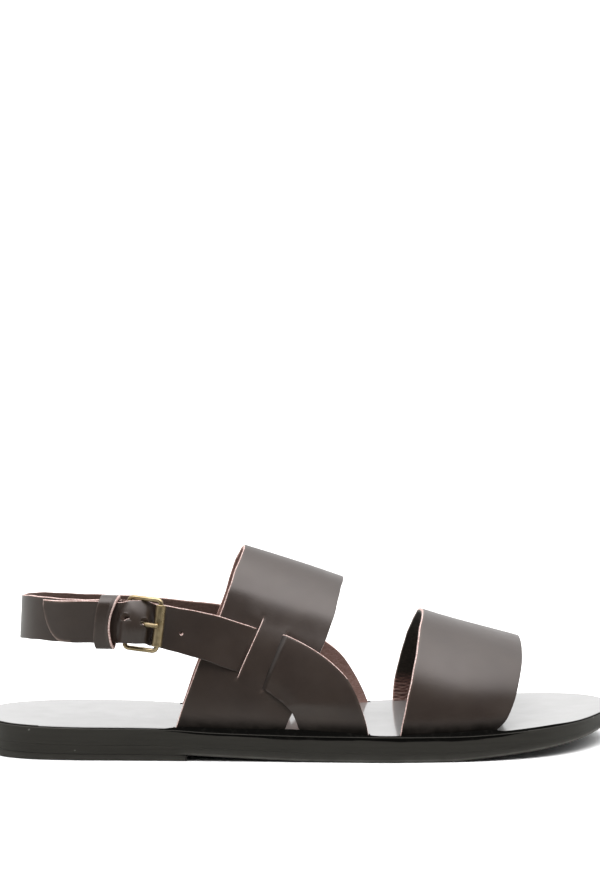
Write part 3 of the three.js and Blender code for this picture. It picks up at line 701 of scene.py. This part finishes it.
def add_front_strap():
    """The wide front strap, with creases on its flesh side above the medial foot."""
    edges = curves(FRONT_STRAP, "girth")
    girths = stepped([0, 0.88, 1], (124, 90))
    shares = np.linspace(0, 1, 37)
    wave = ripple(girths * 150, [(31, 0.1, 0.4), (12, 0.05, 2.1)])
    rear = edges["rear"](girths) + wave
    front = edges["front"](girths) - wave[::-1]
    x = mix(rear[:, None], front[:, None], shares)
    girth = np.broadcast_to(girths[:, None], x.shape)
    trough_girth, trough_depth = 0.09, 1.5
    spread = np.where(girth < trough_girth, 0.16, 0.08)
    trough = trough_depth * bell(girth, trough_girth, spread) * ease(0.35, 1, shares)
    crease_zone = ease(0.89, 0.965, girth)
    wander = 0.0034 * np.sin(x * 0.36) + 0.0022 * np.sin(x * 0.95 + 1)
    ridges = ripple(girth + wander, [(0.0098, 0.6, 0)]) + ripple(girth - wander, [(0.0151, 0.4, 0)])
    # The flesh side is near-black above the crease zone, painted shade inside the strap, and pink in it,
    # paler on the ridges and darker between them: its own colour with painted light and shade of the creases
    bare = np.clip(crease_zone * (0.62 + 0.5 * ridges), 0, 1)
    add_sheet("front_strap", last_point(x, girth, -trough), grid_faces(*x.shape), "front_strap",
              inner_shift=-0.16 * crease_zone * ridges, bare=bare)


def add_instep_band():
    """The instep band with two slits on each side, and between them the bridge that its strap pushes out."""
    edges = curves(INSTEP_BAND, "girth")
    slits = curves(SLITS, "level")
    rise_at = curve(*BRIDGE_RISE.values())
    row_counts, column_counts = (12, 26, 74, 26, 11), (16, 11, 15)
    levels = stepped([0, *BRIDGE_LEVELS[0], *BRIDGE_LEVELS[1], 1], row_counts)
    marks = [[0, slits["rear"](level), slits["front"](level), 1] for level in levels]
    across = np.array([stepped(row, column_counts) for row in marks])
    level = np.broadcast_to(levels[:, None], across.shape)
    middle = (slits["rear"](level) + slits["front"](level)) / 2
    girth = np.clip(level + slits["lean"](level) * (across - middle), 0, 1)
    wave = ripple(girth * 190, [(37, 0.13, 1.1), (14, 0.06, 0.3)])
    x = mix(edges["rear"](girth) + wave, edges["front"](girth) - wave[::-1], across)

    rear_slit, front_slit = np.cumsum(column_counts)[:2]
    behind = across[:, [rear_slit]] - across
    beyond = across - across[:, [front_slit]]
    beside = BAND_WIDTH * np.maximum(np.maximum(behind, beyond), 0)
    lift = np.zeros_like(across)
    for low, high in BRIDGE_LEVELS:
        share = (level - low) / (high - low)
        is_open = ease(0, 0.2, share) * ease(0, 0.2, 1 - share)
        lift += rise_at(share) * bell(beside, 0, BRIDGE_SPREAD) * np.where(beside > 0, 1 - is_open, 1)

    # Along the slits the bridge gets points of its own, and the band's points stay down
    points = last_point(x, girth, lift)
    height, width = across.shape
    faces = grid_faces(height, width)
    bridge_points = []
    pale_share = np.ones((height, width))
    slit_rows = np.cumsum(row_counts)
    for first, end in (slit_rows[:2], slit_rows[2:4]):
        own = {}
        for i in range(first + 1, end):
            for j, neighbour in ((rear_slit, rear_slit - 1), (front_slit, front_slit + 1)):
                own[i * width + j] = height * width + len(bridge_points)
                bridge_points.append(points[i, j].copy())
                points[i, j] = last_point(x[i, j], girth[i, j], lift[i, neighbour])
        for i in range(first, end):
            for j in range(rear_slit, front_slit):
                faces[i, j] = tuple(own.get(a, a) for a in faces[i, j])
        # The front slits' edges get no pale line of painted light
        pale_share[first:end + 1, front_slit] = 0
    add_sheet("instep_band", np.vstack([points.reshape(-1, 3), bridge_points]), faces, bare=0.66,
              pale_share=np.append(pale_share, np.ones(len(bridge_points))))


def wing_sections(stops, count, is_medial):
    """Points across a wing from the sole to its bridge, sinking where it goes under."""
    row = {key: value(stops)[:, None] for key, value in row_curves(WING).items()}
    if is_medial:
        share = (stops / (len(WING["lift"]) - 1))[:, None]
        forward = mix(MEDIAL_FOOT_FORWARD, MEDIAL_BRIDGE_FORWARD, share)
        for side in ("low", "high"):
            row[side + "_x"] += forward
            row[side + "_girth"] = 1 - row[side + "_girth"] + MEDIAL_DROP * share
    shares = np.linspace(0, 1, count)
    x = mix(row["low_x"], row["high_x"], shares)
    girth = mix(row["low_girth"], row["high_girth"], shares)
    pressed = row["lift"] * (0.6 + 0.4 * ease(0, 0.3, shares))
    return last_point(x, girth, pressed - bridge_dip(last_point(x, girth, pressed), is_medial))


def tip_low(row):
    """Lower edge of the buckle strap's round end, in half widths."""
    left = np.maximum(1 - row / TIP_ROWS, 0)
    return 1 - 2 * mix(TIP_SQUARE, 1, (1 - left * left) ** TIP_BULGE)


def punch(points, faces, columns, centre, along, up, half_length, radius):
    """Replaces the faces round a place by a ring of faces about a round or long hole."""
    offset = points - centre
    du, dv = offset @ along, offset @ up
    near = (np.abs(du) < half_length + PUNCH_MARGIN) & (np.abs(dv) < radius + PUNCH_MARGIN)
    near &= np.linalg.norm(offset, axis=1) < PUNCH_REACH
    i, j = np.divmod(np.nonzero(near)[0], columns)
    i0, i1, j0, j1 = i.min(), i.max(), j.min(), j.max()
    for a in range(i0, i1):
        for b in range(j0, j1):
            faces.pop((a, b))
    loop = [(i0, b) for b in range(j0, j1)] + [(a, j1) for a in range(i0, i1)]
    loop += [(i1, b) for b in range(j1, j0, -1)] + [(a, j0) for a in range(i1, i0, -1)]
    border = [a * columns + b for a, b in loop]
    straight = half_length - radius
    ring = []
    for index in border:
        core = np.clip(du[index], -straight, straight)
        angle = math.atan2(dv[index], du[index] - core)
        ring.append(centre + along * (core + radius * math.cos(angle)) + up * radius * math.sin(angle))
    first, count = len(points), len(border)
    for k in range(count):
        after = (k + 1) % count
        faces["hole", first + k] = (border[k], border[after], first + after, first + k)
    return np.vstack([points, ring])


def add_buckle_strap():
    """The lateral wing and the buckle strap as one strip, from the sole through the buckle."""
    count = 21
    wing_part = wing_sections(stepped([0, 4.4, 5.5], (44, 39)), count, False)
    tip_rows = 1.1 * (1 - np.linspace(0, 1, 26) ** 0.8)
    rows = np.concatenate([stepped([9.7, 8.7, 1.1], (43, 119)), tip_rows[1:]])
    wave = ripple(rows * 11, [(29, 0.012, 0.6), (11, 0.006, 2)])
    between = ease(3.5, 4.1, rows) * (1 - ease(4.8, 5.6, rows))  # between the buckle's bars
    free_part = buckle_path.section(rows, tip_low(rows) + wave + 0.13 * between, 1 + wave[::-1], count, False)
    over_bar = 0.6 * bell(rows, 4.2, 0.5) - 0.9 * bell(rows, 5.4, 0.42)
    across = np.linspace(-1, 1, count)
    crown = 2.2 * (1 - across**2) - 1.5 * across
    out = buckle_path.frame(rows)[3]
    free_part += out[:, None] * (between[:, None] * crown + over_bar[:, None])[..., None]

    grid = np.concatenate([wing_part, free_part])
    faces = grid_faces(len(grid), count)
    points = grid.reshape(-1, 3)
    for row, up_by, half_length in zip(*PUNCHES.values()):
        _, along, up, _ = buckle_path.frame(row)
        column = round((1 + up_by / float(buckle_path.half_width(row))) * (count - 1) / 2)
        centre = grid[len(wing_part) + np.abs(rows - row).argmin(), column]
        points = punch(points, faces, count, centre, along, up, half_length, PUNCH_DIAMETER / 2)
    hole_points = len(points) - len(grid) * count

    def by_point(in_wing, in_rows, in_holes):
        values = np.append(np.full(len(wing_part), in_wing), in_rows)
        return np.append(np.repeat(values, count), np.full(hole_points, in_holes))

    # Painted shade blackens the strap where it goes under the bridge, and its pale edge line of painted light
    # is thinner towards the tip
    add_sheet("buckle_strap", points, faces, bare=0.05,
              rubbed=by_point(0.12, mix(0.9, 0.12, ease(0.9, 1.6, rows)), 0.0),
              pale_share=by_point(1.0, mix(0.55, 1, ease(4.5, 6.5, rows)), 1.0),
              hole_points=hole_points, slit_shaded=bridge_slit_shade(points, False))


def add_heel_strap():
    """The medial wing and the heel strap as one strip, from the sole round the heel to the buckle's bar."""
    count = 15
    wing_part = wing_sections(np.linspace(0, 5.5, 56), count, True)
    rows = np.linspace(0, HEEL_STRAP_END, 194)
    wave = ripple(rows * 18, [(41, 0.012, 0.2), (13, 0.007, 1)])
    grid = np.concatenate([wing_part, heel_path.section(rows, wave - 1, 1 + wave[::-1], count, True)])
    bare = np.where(np.arange(len(grid)) < len(wing_part), 0.7, 0.14)
    # Painted shade blackens the strap where it goes under the medial bridge, and its pale edge line of
    # painted light is thinner
    add_sheet("heel_strap", grid, grid_faces(len(grid), count, flip=True), bare=np.repeat(bare, count),
              pale_share=0.55, slit_shaded=bridge_slit_shade(grid, True))


class BuckleFrame:
    """Directions and places of the buckle: from its plain bar to the bar in its roller."""

    def __init__(self):
        bar, bar_along, bar_up, bar_out = heel_path.frame(float(heel_path.end))
        under, _, under_up, under_out = buckle_path.frame(ROLLER_ROW)
        self.bar = bar + bar_out * (FOLD + GAP + WIRE / 2)
        roller = under + under_out * (LEATHER + 2 * GAP + ROLLER_DIAMETER / 2)
        self.centre = (self.bar + roller) / 2
        self.length = np.linalg.norm(roller - self.bar)
        self.x = unit(roller - self.bar)
        self.z = unit(np.cross(self.x, bar_up + under_up))
        self.y = np.cross(self.z, self.x)
        self.fold_out = unit(np.cross(bar_along, self.y))
        self.fold_along = np.cross(self.y, self.fold_out)

    def place(self, local):
        return self.centre + local @ np.array([self.x, self.y, self.z])


buckle = BuckleFrame()


def add_fold():
    """The heel strap's end, thinned and turned round the plain bar, in two halves beside the prong."""
    inner = GAP + WIRE / 2
    arc = np.radians(np.linspace(-90, 90, 15))
    way = [(-FOLD_LENGTH, -inner), (-FOLD_LENGTH / 2, -inner)]
    way += [(inner * math.cos(a), inner * math.sin(a)) for a in arc]
    way += [(-FOLD_LENGTH / 2, 0.45 * inner), (-FOLD_LENGTH, -0.55 * inner)]
    along, out = np.array(way).T[..., None, None]
    half_width = heel_path.half_width(heel_path.end)
    slot = PRONG / 2 + GAP
    for name, low, high in (("strap_fold_low", -half_width, -slot), ("strap_fold_high", slot, half_width)):
        up = np.linspace(low, high, 9)[:, None]
        points = buckle.bar + buckle.fold_along * along + buckle.fold_out * out + buckle.y * up
        faces = grid_faces(len(way), len(up), flip=True)
        add_sheet(name, points, faces, thickness=FOLD, rounding=0.2, bare=0.2)


def rounded_loop(half_x, half_y, radius, count):
    """Evenly spaced points round a rectangle with round corners, against the clock."""
    corners = []
    for quarter, (sign_x, sign_y) in enumerate(((1, 1), (-1, 1), (-1, -1), (1, -1))):
        for share in np.linspace(0, 1, 9):
            angle = (quarter + share) * math.pi / 2
            corners.append((sign_x * (half_x - radius) + radius * math.cos(angle),
                            sign_y * (half_y - radius) + radius * math.sin(angle)))
    closed = np.array(corners + corners[:1])
    lengths = np.append(0, np.cumsum(np.linalg.norm(np.diff(closed, axis=0), axis=1)))
    at = np.linspace(0, lengths[-1], count, endpoint=False)
    return np.stack([np.interp(at, lengths, values) for values in closed.T], -1)


def add_keeper():
    """The keeper loop: bowed over the buckle strap, leaning, and flared at its front edge."""
    centre, along, up, out = heel_path.frame(KEEPER_ROW)
    loop = rounded_loop(KEEPER_HALF_HEIGHT, KEEPER_DEPTH / 2, KEEPER_CORNER, 110)
    across = np.linspace(-1, 1, 15)
    height, depth = loop[:, :1], loop[:, 1:]
    rise = height / KEEPER_HALF_HEIGHT
    is_front = ease(-0.5, 0.9, depth / (KEEPER_DEPTH / 2))
    arch = 1 - rise**2
    lean = 1.0 * rise
    bow = 2.3 * arch * is_front * ease(-1, 1, across)
    flare = 1.0 * is_front * ease(0.3, 1, across) ** 2
    bulge = 0.7 * arch * is_front
    tuck = 1.4 * rise**4 * ease(0.2, -1, across)
    place_along = across * KEEPER_WIDTH / 2 + lean - bow + tuck
    place_out = KEEPER_SHIFT + depth + bulge + flare
    points = centre + up * height[..., None] + along * place_along[..., None] + out * place_out[..., None]
    faces = grid_faces(len(loop), len(across), close_rows=True, flip=True)
    add_sheet("strap_keeper", points, faces, "strap_keeper", thickness=KEEPER_LEATHER, rounding=0.22,
              lit_edge_side=KEEPER_LIT_EDGE_SIDE, pale_share=0.7)


# Brass
def full_turn(count):
    return np.linspace(0, 2 * np.pi, count, endpoint=False)


def tube_rings(path, radii, sides, normal, closed=True):
    """Rings of points round a flat path."""
    ahead = np.roll(path, -1, 0) if closed else np.vstack([path[1:], 2 * path[-1] - path[-2]])
    behind = np.roll(path, 1, 0) if closed else np.vstack([2 * path[0] - path[1], path[:-1]])
    along = unit(ahead - behind)
    side = np.cross(along, normal)
    lift = np.cross(side, along)
    angles = full_turn(sides)[:, None]
    ring = np.cos(angles) * side[:, None] + np.sin(angles) * lift[:, None]
    return path[:, None] + ring * np.broadcast_to(radii, len(path))[:, None, None]


def face_out(points, faces):
    """Faces of a closed body, turned so that they point out."""
    fans = [(f[0], f[k], f[k + 1]) for f in faces for k in range(1, len(f) - 1)]
    a, b, c = (points - points.mean(0))[np.transpose(fans)]
    return faces if (a * np.cross(b, c)).sum() > 0 else [f[::-1] for f in faces]


def add_brass(name, *tubes):
    """A brass piece of tubes, each of them rings of points in the buckle's frame; open ones get flat ends."""
    points, faces = [], []
    for rings, is_closed in tubes:
        count, sides = rings.shape[:2]
        tube = list(grid_faces(count, sides, is_closed, True).values())
        if not is_closed:
            tube += [tuple(range(sides))[::-1], tuple(range((count - 1) * sides, count * sides))]
        placed = buckle.place(rings).reshape(-1, 3)
        faces += [tuple(len(points) + a for a in face) for face in face_out(placed, tube)]
        points += list(placed)
    add_piece(name, np.array(points), faces, [BRASS_FINISH], [0] * len(faces), name, "brass")


def add_buckle():
    """Frame of round wire, a rolled tube on its front bar, and the prong with its eye on the plain bar."""
    half_length = buckle.length / 2
    loop = rounded_loop(half_length, FRAME_HALF_HEIGHT, FRAME_CORNER, 150)
    wire = tube_rings(np.column_stack([loop, np.zeros(len(loop))]), WIRE / 2, 20, UP)
    add_brass("buckle_frame", (wire, True))

    inner, outer, half = WIRE / 2 + 0.12, ROLLER_DIAMETER / 2, ROLLER_LENGTH / 2
    lip = [(inner, half - 0.25), (inner + 0.25, half), (outer - 0.45, half), (outer - 0.12, half - 0.12),
           (outer, half - 0.45)]
    barrel = [(outer + 0.04 * math.cos(3 * h), h * (half - 0.45)) for h in np.linspace(0.96, -0.96, 25)]
    far_lip = [(r, -h) for r, h in reversed(lip)]
    roller = [[(half_length + r * math.cos(t), h, r * math.sin(t)) for t in full_turn(48)]
              for r, h in lip + barrel + far_lip]
    add_brass("buckle_roller", (np.array(roller), True))

    radius = WIRE / 2 + GAP + PRONG / 4
    eye_path = [(radius * math.cos(t) - half_length, 0, radius * math.sin(t)) for t in full_turn(40)]
    eye = tube_rings(np.array(eye_path), PRONG / 4, 12, SIDEWAYS)
    eye[..., 1] *= 2
    start = np.array([radius - half_length, 0, 0])
    end = np.array([half_length + PRONG_PAST_ROLLER, 0, ROLLER_DIAMETER / 2 + PRONG / 2 + 2 * GAP])
    tip_shares = 1 - PRONG_TIP * (1 - np.sin(np.linspace(0.15, 1, 8) * math.pi / 2))
    shares = np.append(np.linspace(0, 1 - PRONG_TIP, 30), tip_shares)
    taper = np.clip((1 - shares) / PRONG_TIP, 0, 1)
    radii = PRONG / 2 * (1 - 0.12 * shares) * np.sqrt(np.clip(1 - (1 - taper) ** 2, 0.01, 1))
    rod = tube_rings(mix(start, end, shares[:, None]), radii, 16, SIDEWAYS, closed=False)
    add_brass("buckle_prong", (eye, True), (rod, False))


# Sole
STRAP_FEET = {
    "lateral": [(39.2, 80.5), (-57.6, -11.2), (-2.2, 26.4)],
    "medial": [(45.5, 85.5), (-51.6, -5.6), (5.8, 34.4)],
}


def outline_sides(turns):
    """Lateral and medial edge of the sole, each with its direction into the sole."""
    sides = []
    for edge, sign in ((lateral_of_turn, 1), (medial_of_turn, -1)):
        points = np.stack([x_of_turn(turns), edge(turns)], -1)
        step = 1e-4
        before, after = np.clip(turns - step, 0, np.pi), np.clip(turns + step, 0, np.pi)
        tangent = np.stack([x_of_turn(after) - x_of_turn(before), edge(after) - edge(before)], -1)
        tangent[0] = (0, -sign)
        if turns[-1] > math.pi - 1e-6:
            tangent[-1] = (0, sign)
        tangent = unit(tangent)
        sides.append((points, sign * np.stack([-tangent[:, 1], tangent[:, 0]], -1)))
    return sides


def add_sole_body(name, rings, to_x=LENGTH / 2, stations=SOLE_STATIONS):
    """A layer of the sole: rings of (inset, height, tone), numbers or functions of x and side, and flat ends.

    The tone is 1 in a groove painted black as shade and -1 on the paler lowest edge.
    """
    turns = np.linspace(0, float(turn_at(to_x)), stations)
    (lateral, lateral_in), (medial, medial_in) = outline_sides(turns)
    stop = -1 if to_x >= LENGTH / 2 else None
    plan = np.vstack([lateral, medial[1:stop][::-1]])
    inward = np.vstack([lateral_in, medial_in[1:stop][::-1]])
    count = len(plan)
    is_medial = np.arange(count) >= len(lateral)

    def along(value, x):
        return value(x, is_medial) if callable(value) else np.full(count, float(value))

    points, tones = [], []
    for inset, height, tone in rings:
        place = plan + inward * along(inset, plan[:, 0])[:, None]
        x = np.minimum(place[:, 0], to_x)
        points.append(np.column_stack([x, place[:, 1], along(height, x)]))
        tones.append(along(tone, plan[:, 0]))
    faces = list(grid_faces(len(rings), count, close_columns=True).values())
    for start, turn in ((0, -1), ((len(rings) - 1) * count, 1)):
        for k in range(stations - 1):
            corners = (k, k + 1, (count - k - 1) % count, (count - k) % count)
            face = [start + i for i in dict.fromkeys(corners)]
            if len(face) > 2:
                faces.append(tuple(face[::turn]))
    points, tones = np.vstack(points), np.concatenate(tones)
    faces = face_out(points, faces)
    # Faces with a high tone get the matt black of painted shade
    is_shaded_groove = [tones[list(face)].mean() > 0.5 for face in faces]
    add_piece(name, points, faces, SOLE_SET, is_shaded_groove, name, "sole_edge", tone=tones)


# The sole's rim along the lateral straps' feet: how far it is pushed up
RIM_RISE = table("x rise", [
    (-62, 0), (-57, 0.8), (-45, 1.4), (-20, 1.9), (-7, 2.3), (5, 1.8), (18, 1.1), (28, 0.2), (33, 0),
    (39, 0.2), (50, 0.9), (65, 1.4), (79, 1.7), (84, 0.7), (92, 0.6), (106, 0.7), (116, 0.35), (126, 0),
])
MEDIAL_RIM_FORWARD = 6
rim_rise = curve(*RIM_RISE.values())


def seam_wave(x):
    return ripple(x, [(70, 0.2, 0), (27, 0.14, 2), (11, 0.06, 1)])


def open_seam(x):
    """1 along the straps' feet, where the seam under the rim is open, and 0 elsewhere."""
    return ease(-64, -50, x) * (1 - ease(78, 96, x)) * (0.55 + 0.45 * ease(-22, -6, x))


# Insets, heights and tones of the sole's rings, as functions of x and side
def over_underside(by):
    return lambda x, is_medial: underside_at(x) + by


def over_joint(by):
    return lambda x, is_medial: outsole_top_at(x) + by


def seat(x, is_medial):
    return midsole_top_at(x)


def seam(depth):
    """A seam that shows in the heel alone."""
    return lambda x, is_medial: depth * (1 - 0.85 * ease(-75, -50, x))


def opened(depth):
    return lambda x, is_medial: depth * open_seam(x)


# Tone 1 along the open seam: matt black as painted shade
def black(x, is_medial):
    return (open_seam(x) > 0.03).astype(float)


def wavy(by):
    return lambda x, is_medial: top_at(x) + mix(-1.1, by + seam_wave(x), mix(0.04, 1, open_seam(x)))


def rim(by, share):
    def height(x, is_medial):
        own_x = x - MEDIAL_RIM_FORWARD * is_medial
        lower = is_medial * mix(0.7, 1, ease(80, 88, own_x))
        return top_at(x) + by + share * rim_rise(own_x) * (1 - lower)
    return height


def fore(value, in_heel=0.0):
    """A value that holds in front of the heel."""
    return lambda x, is_medial: mix(in_heel, value, ease(HEEL_BREAST_X - 5, HEEL_BREAST_X + 3, x))


def add_sole():
    """Heel lift, outsole and midsole, whose rim stands up round the insole, most along the straps' feet."""
    # Tones below 0 pale the lowest edges; in the midsole, tone 1 paints the open seam under the straps' feet
    # and the rim's top matt black as painted shade
    add_sole_body("heel_lift", [
        (0.9, 0, 0), (0.5, 0.12, -0.4), (0.25, 0.45, -0.5), (HEEL_INSET, 0.95, -0.2),
        (HEEL_INSET, over_underside(-0.07), 0), (HEEL_INSET + 0.02, over_underside(-0.05), 0),
        (HEEL_INSET + 0.3, over_underside(-LAYER_GAP), 0),
    ], to_x=HEEL_BREAST_X, stations=90)
    add_sole_body("outsole", [
        (fore(1.5, 0.1), over_underside(0), 0),
        (fore(0.85, 0.02), over_underside(0.12), fore(-0.3)),
        (fore(0.35, 0.01), over_underside(0.45), fore(-0.8)),
        (fore(0.08, 0.005), over_underside(0.95), fore(-1)),
        (0, over_underside(1.5), fore(-0.2)), (0, over_joint(-0.12), 0),
        (seam(0.05), over_joint(-0.04), 0), (seam(0.3), over_joint(-0.02), 0),
    ])
    add_sole_body("midsole", [
        (seam(0.3), over_joint(0), 0), (seam(0.05), over_joint(0.02), 0),
        (0, over_joint(0.1), 0), (0, wavy(-2.75), 0),
        (opened(0.14), wavy(-2.4), black), (opened(0.22), wavy(-1.9), black),
        (opened(0.2), wavy(-1.4), black), (opened(0.06), rim(-1.08, 0), black),
        (0, rim(-0.95, 0), 0), (0.03, rim(-0.8, 0), 0), (0.14, rim(-0.7, 0), black),
        (0.24, rim(-0.6, 0.1), 1), (0.34, rim(-0.48, 0.4), 1), (0.44, rim(-0.36, 0.8), 1),
        (0.52, rim(-0.26, 1), 1), (0.58, rim(-0.24, 1), 1), (0.64, rim(-0.36, 1), 1),
        (0.66, rim(-0.8, 0.6), 1), (0.66, seat, 0),
    ])


def add_insole():
    """The pale insole with room for the straps' feet in its edge."""
    marks = [[(a - NOTCH_EASE, b + NOTCH_EASE) for a, b in feet] for feet in STRAP_FEET.values()]
    near = np.ravel(marks)[:, None] + (-0.03, 0.03)
    turns = np.unique(np.append(np.linspace(0, np.pi, 170), turn_at(near)))
    notch = STRAP_INSET + GAP + TUCK - INSOLE_INSET
    sides = []
    for (points, inward), feet in zip(outline_sides(turns), marks):
        x = points[:, 0]
        is_notched = np.any([(x > a) & (x < b) for a, b in feet], axis=0)
        edge = points + inward * INSOLE_INSET
        edge[:, 1] += np.sign(inward[:, 1]) * notch * is_notched
        sides.append(edge)
    lateral, medial = sides
    plan = mix(lateral[1:-1, None], medial[1:-1, None], np.linspace(0, 1, 21)[:, None])
    rows, columns = plan.shape[:2]
    flat = np.vstack([plan.reshape(-1, 2), lateral[0], lateral[-1]])
    heel, toe = rows * columns, rows * columns + 1
    faces = grid_faces(rows, columns, flip=True)
    for j in range(columns - 1):
        end = (rows - 1) * columns + j
        faces["heel", j] = (j, j + 1, heel)
        faces["toe", j] = (end + 1, end, toe)
    points = np.column_stack([flat, midsole_top_at(flat[:, 0]) + LAYER_GAP])
    add_sheet("insole", points, faces, "insole", "insole_leather", INSOLE_SET,
              thickness=INSOLE - LAYER_GAP, rounding=0.3)


add_front_strap()
add_instep_band()
add_buckle_strap()
add_heel_strap()
add_fold()
add_keeper()
add_buckle()
add_sole()
add_insole()


# Stage, light and camera
def add_floor():
    mesh = bpy.data.meshes.new("floor")
    mesh.from_pydata([(-4, -4, 0), (4, -4, 0), (4, 4, 0), (-4, 4, 0)], [], [(0, 1, 2, 3)])
    f = Finish("floor_paper", Roughness=0.9, Specular_IOR_Level=0.1)
    f.set("Base Color", f.blend(f.is_seen(), (0.455, 0.468, 0.452), (0.92, 0.92, 0.92)))
    mesh.materials.append(f.material)
    floor = add_object("floor", mesh)


def add_light():
    """A white studio: brightest overhead, with a lit back wall and little light from the camera's side."""
    world = bpy.data.worlds.new("studio")
    bpy.context.scene.world = world
    world.use_nodes = True
    world.node_tree.nodes.clear()
    n = Nodes(world.node_tree)
    axes = n.add("ShaderNodeSeparateXYZ", {0: n.add("ShaderNodeTexCoord")["Generated"]})
    x, y, z = (axes[key] for key in "XYZ")

    def ramp(*values):
        return n.remap(*values, kind="SMOOTHSTEP")

    overhead = n.times(ramp(y, -0.25, 0.86, 5.1, 0), ramp(z, 0.3, 0.75, 0, 1))
    panel = n.times(overhead, ramp(n.math("ABSOLUTE", x), 0.25, 0.7, 1, 0.35))
    studio = n.plus(panel, ramp(y, -0.4, 0.8, 0.36, 1.05))
    total = n.math("MULTIPLY_ADD", studio, ramp(y, -0.64, -0.485, 0, 1), 0.1)
    seen_white = 1.1
    light, white = (n.add("ShaderNodeBackground", {"Color": (1, 1, 1, 1), "Strength": strength})[0]
                    for strength in (total, seen_white))
    both = n.add("ShaderNodeMixShader", {0: n.is_seen(), 1: light, 2: white})[0]
    n.add("ShaderNodeOutputWorld", {"Surface": both})


def add_camera():
    data = bpy.data.cameras.new("camera")
    data.sensor_width = 36
    data.lens = 151.55
    data.clip_end = 20
    camera = add_object("camera", data)
    camera.location = (-0.1255, -1.5925, 0.2994)
    below_level, turned = 5.793, -4.5
    camera.rotation_euler = (math.radians(90 - below_level), 0, math.radians(turned))
    bpy.context.scene.camera = camera


add_floor()
add_light()
add_camera()
bpy.context.scene.view_settings.view_transform = "Standard"
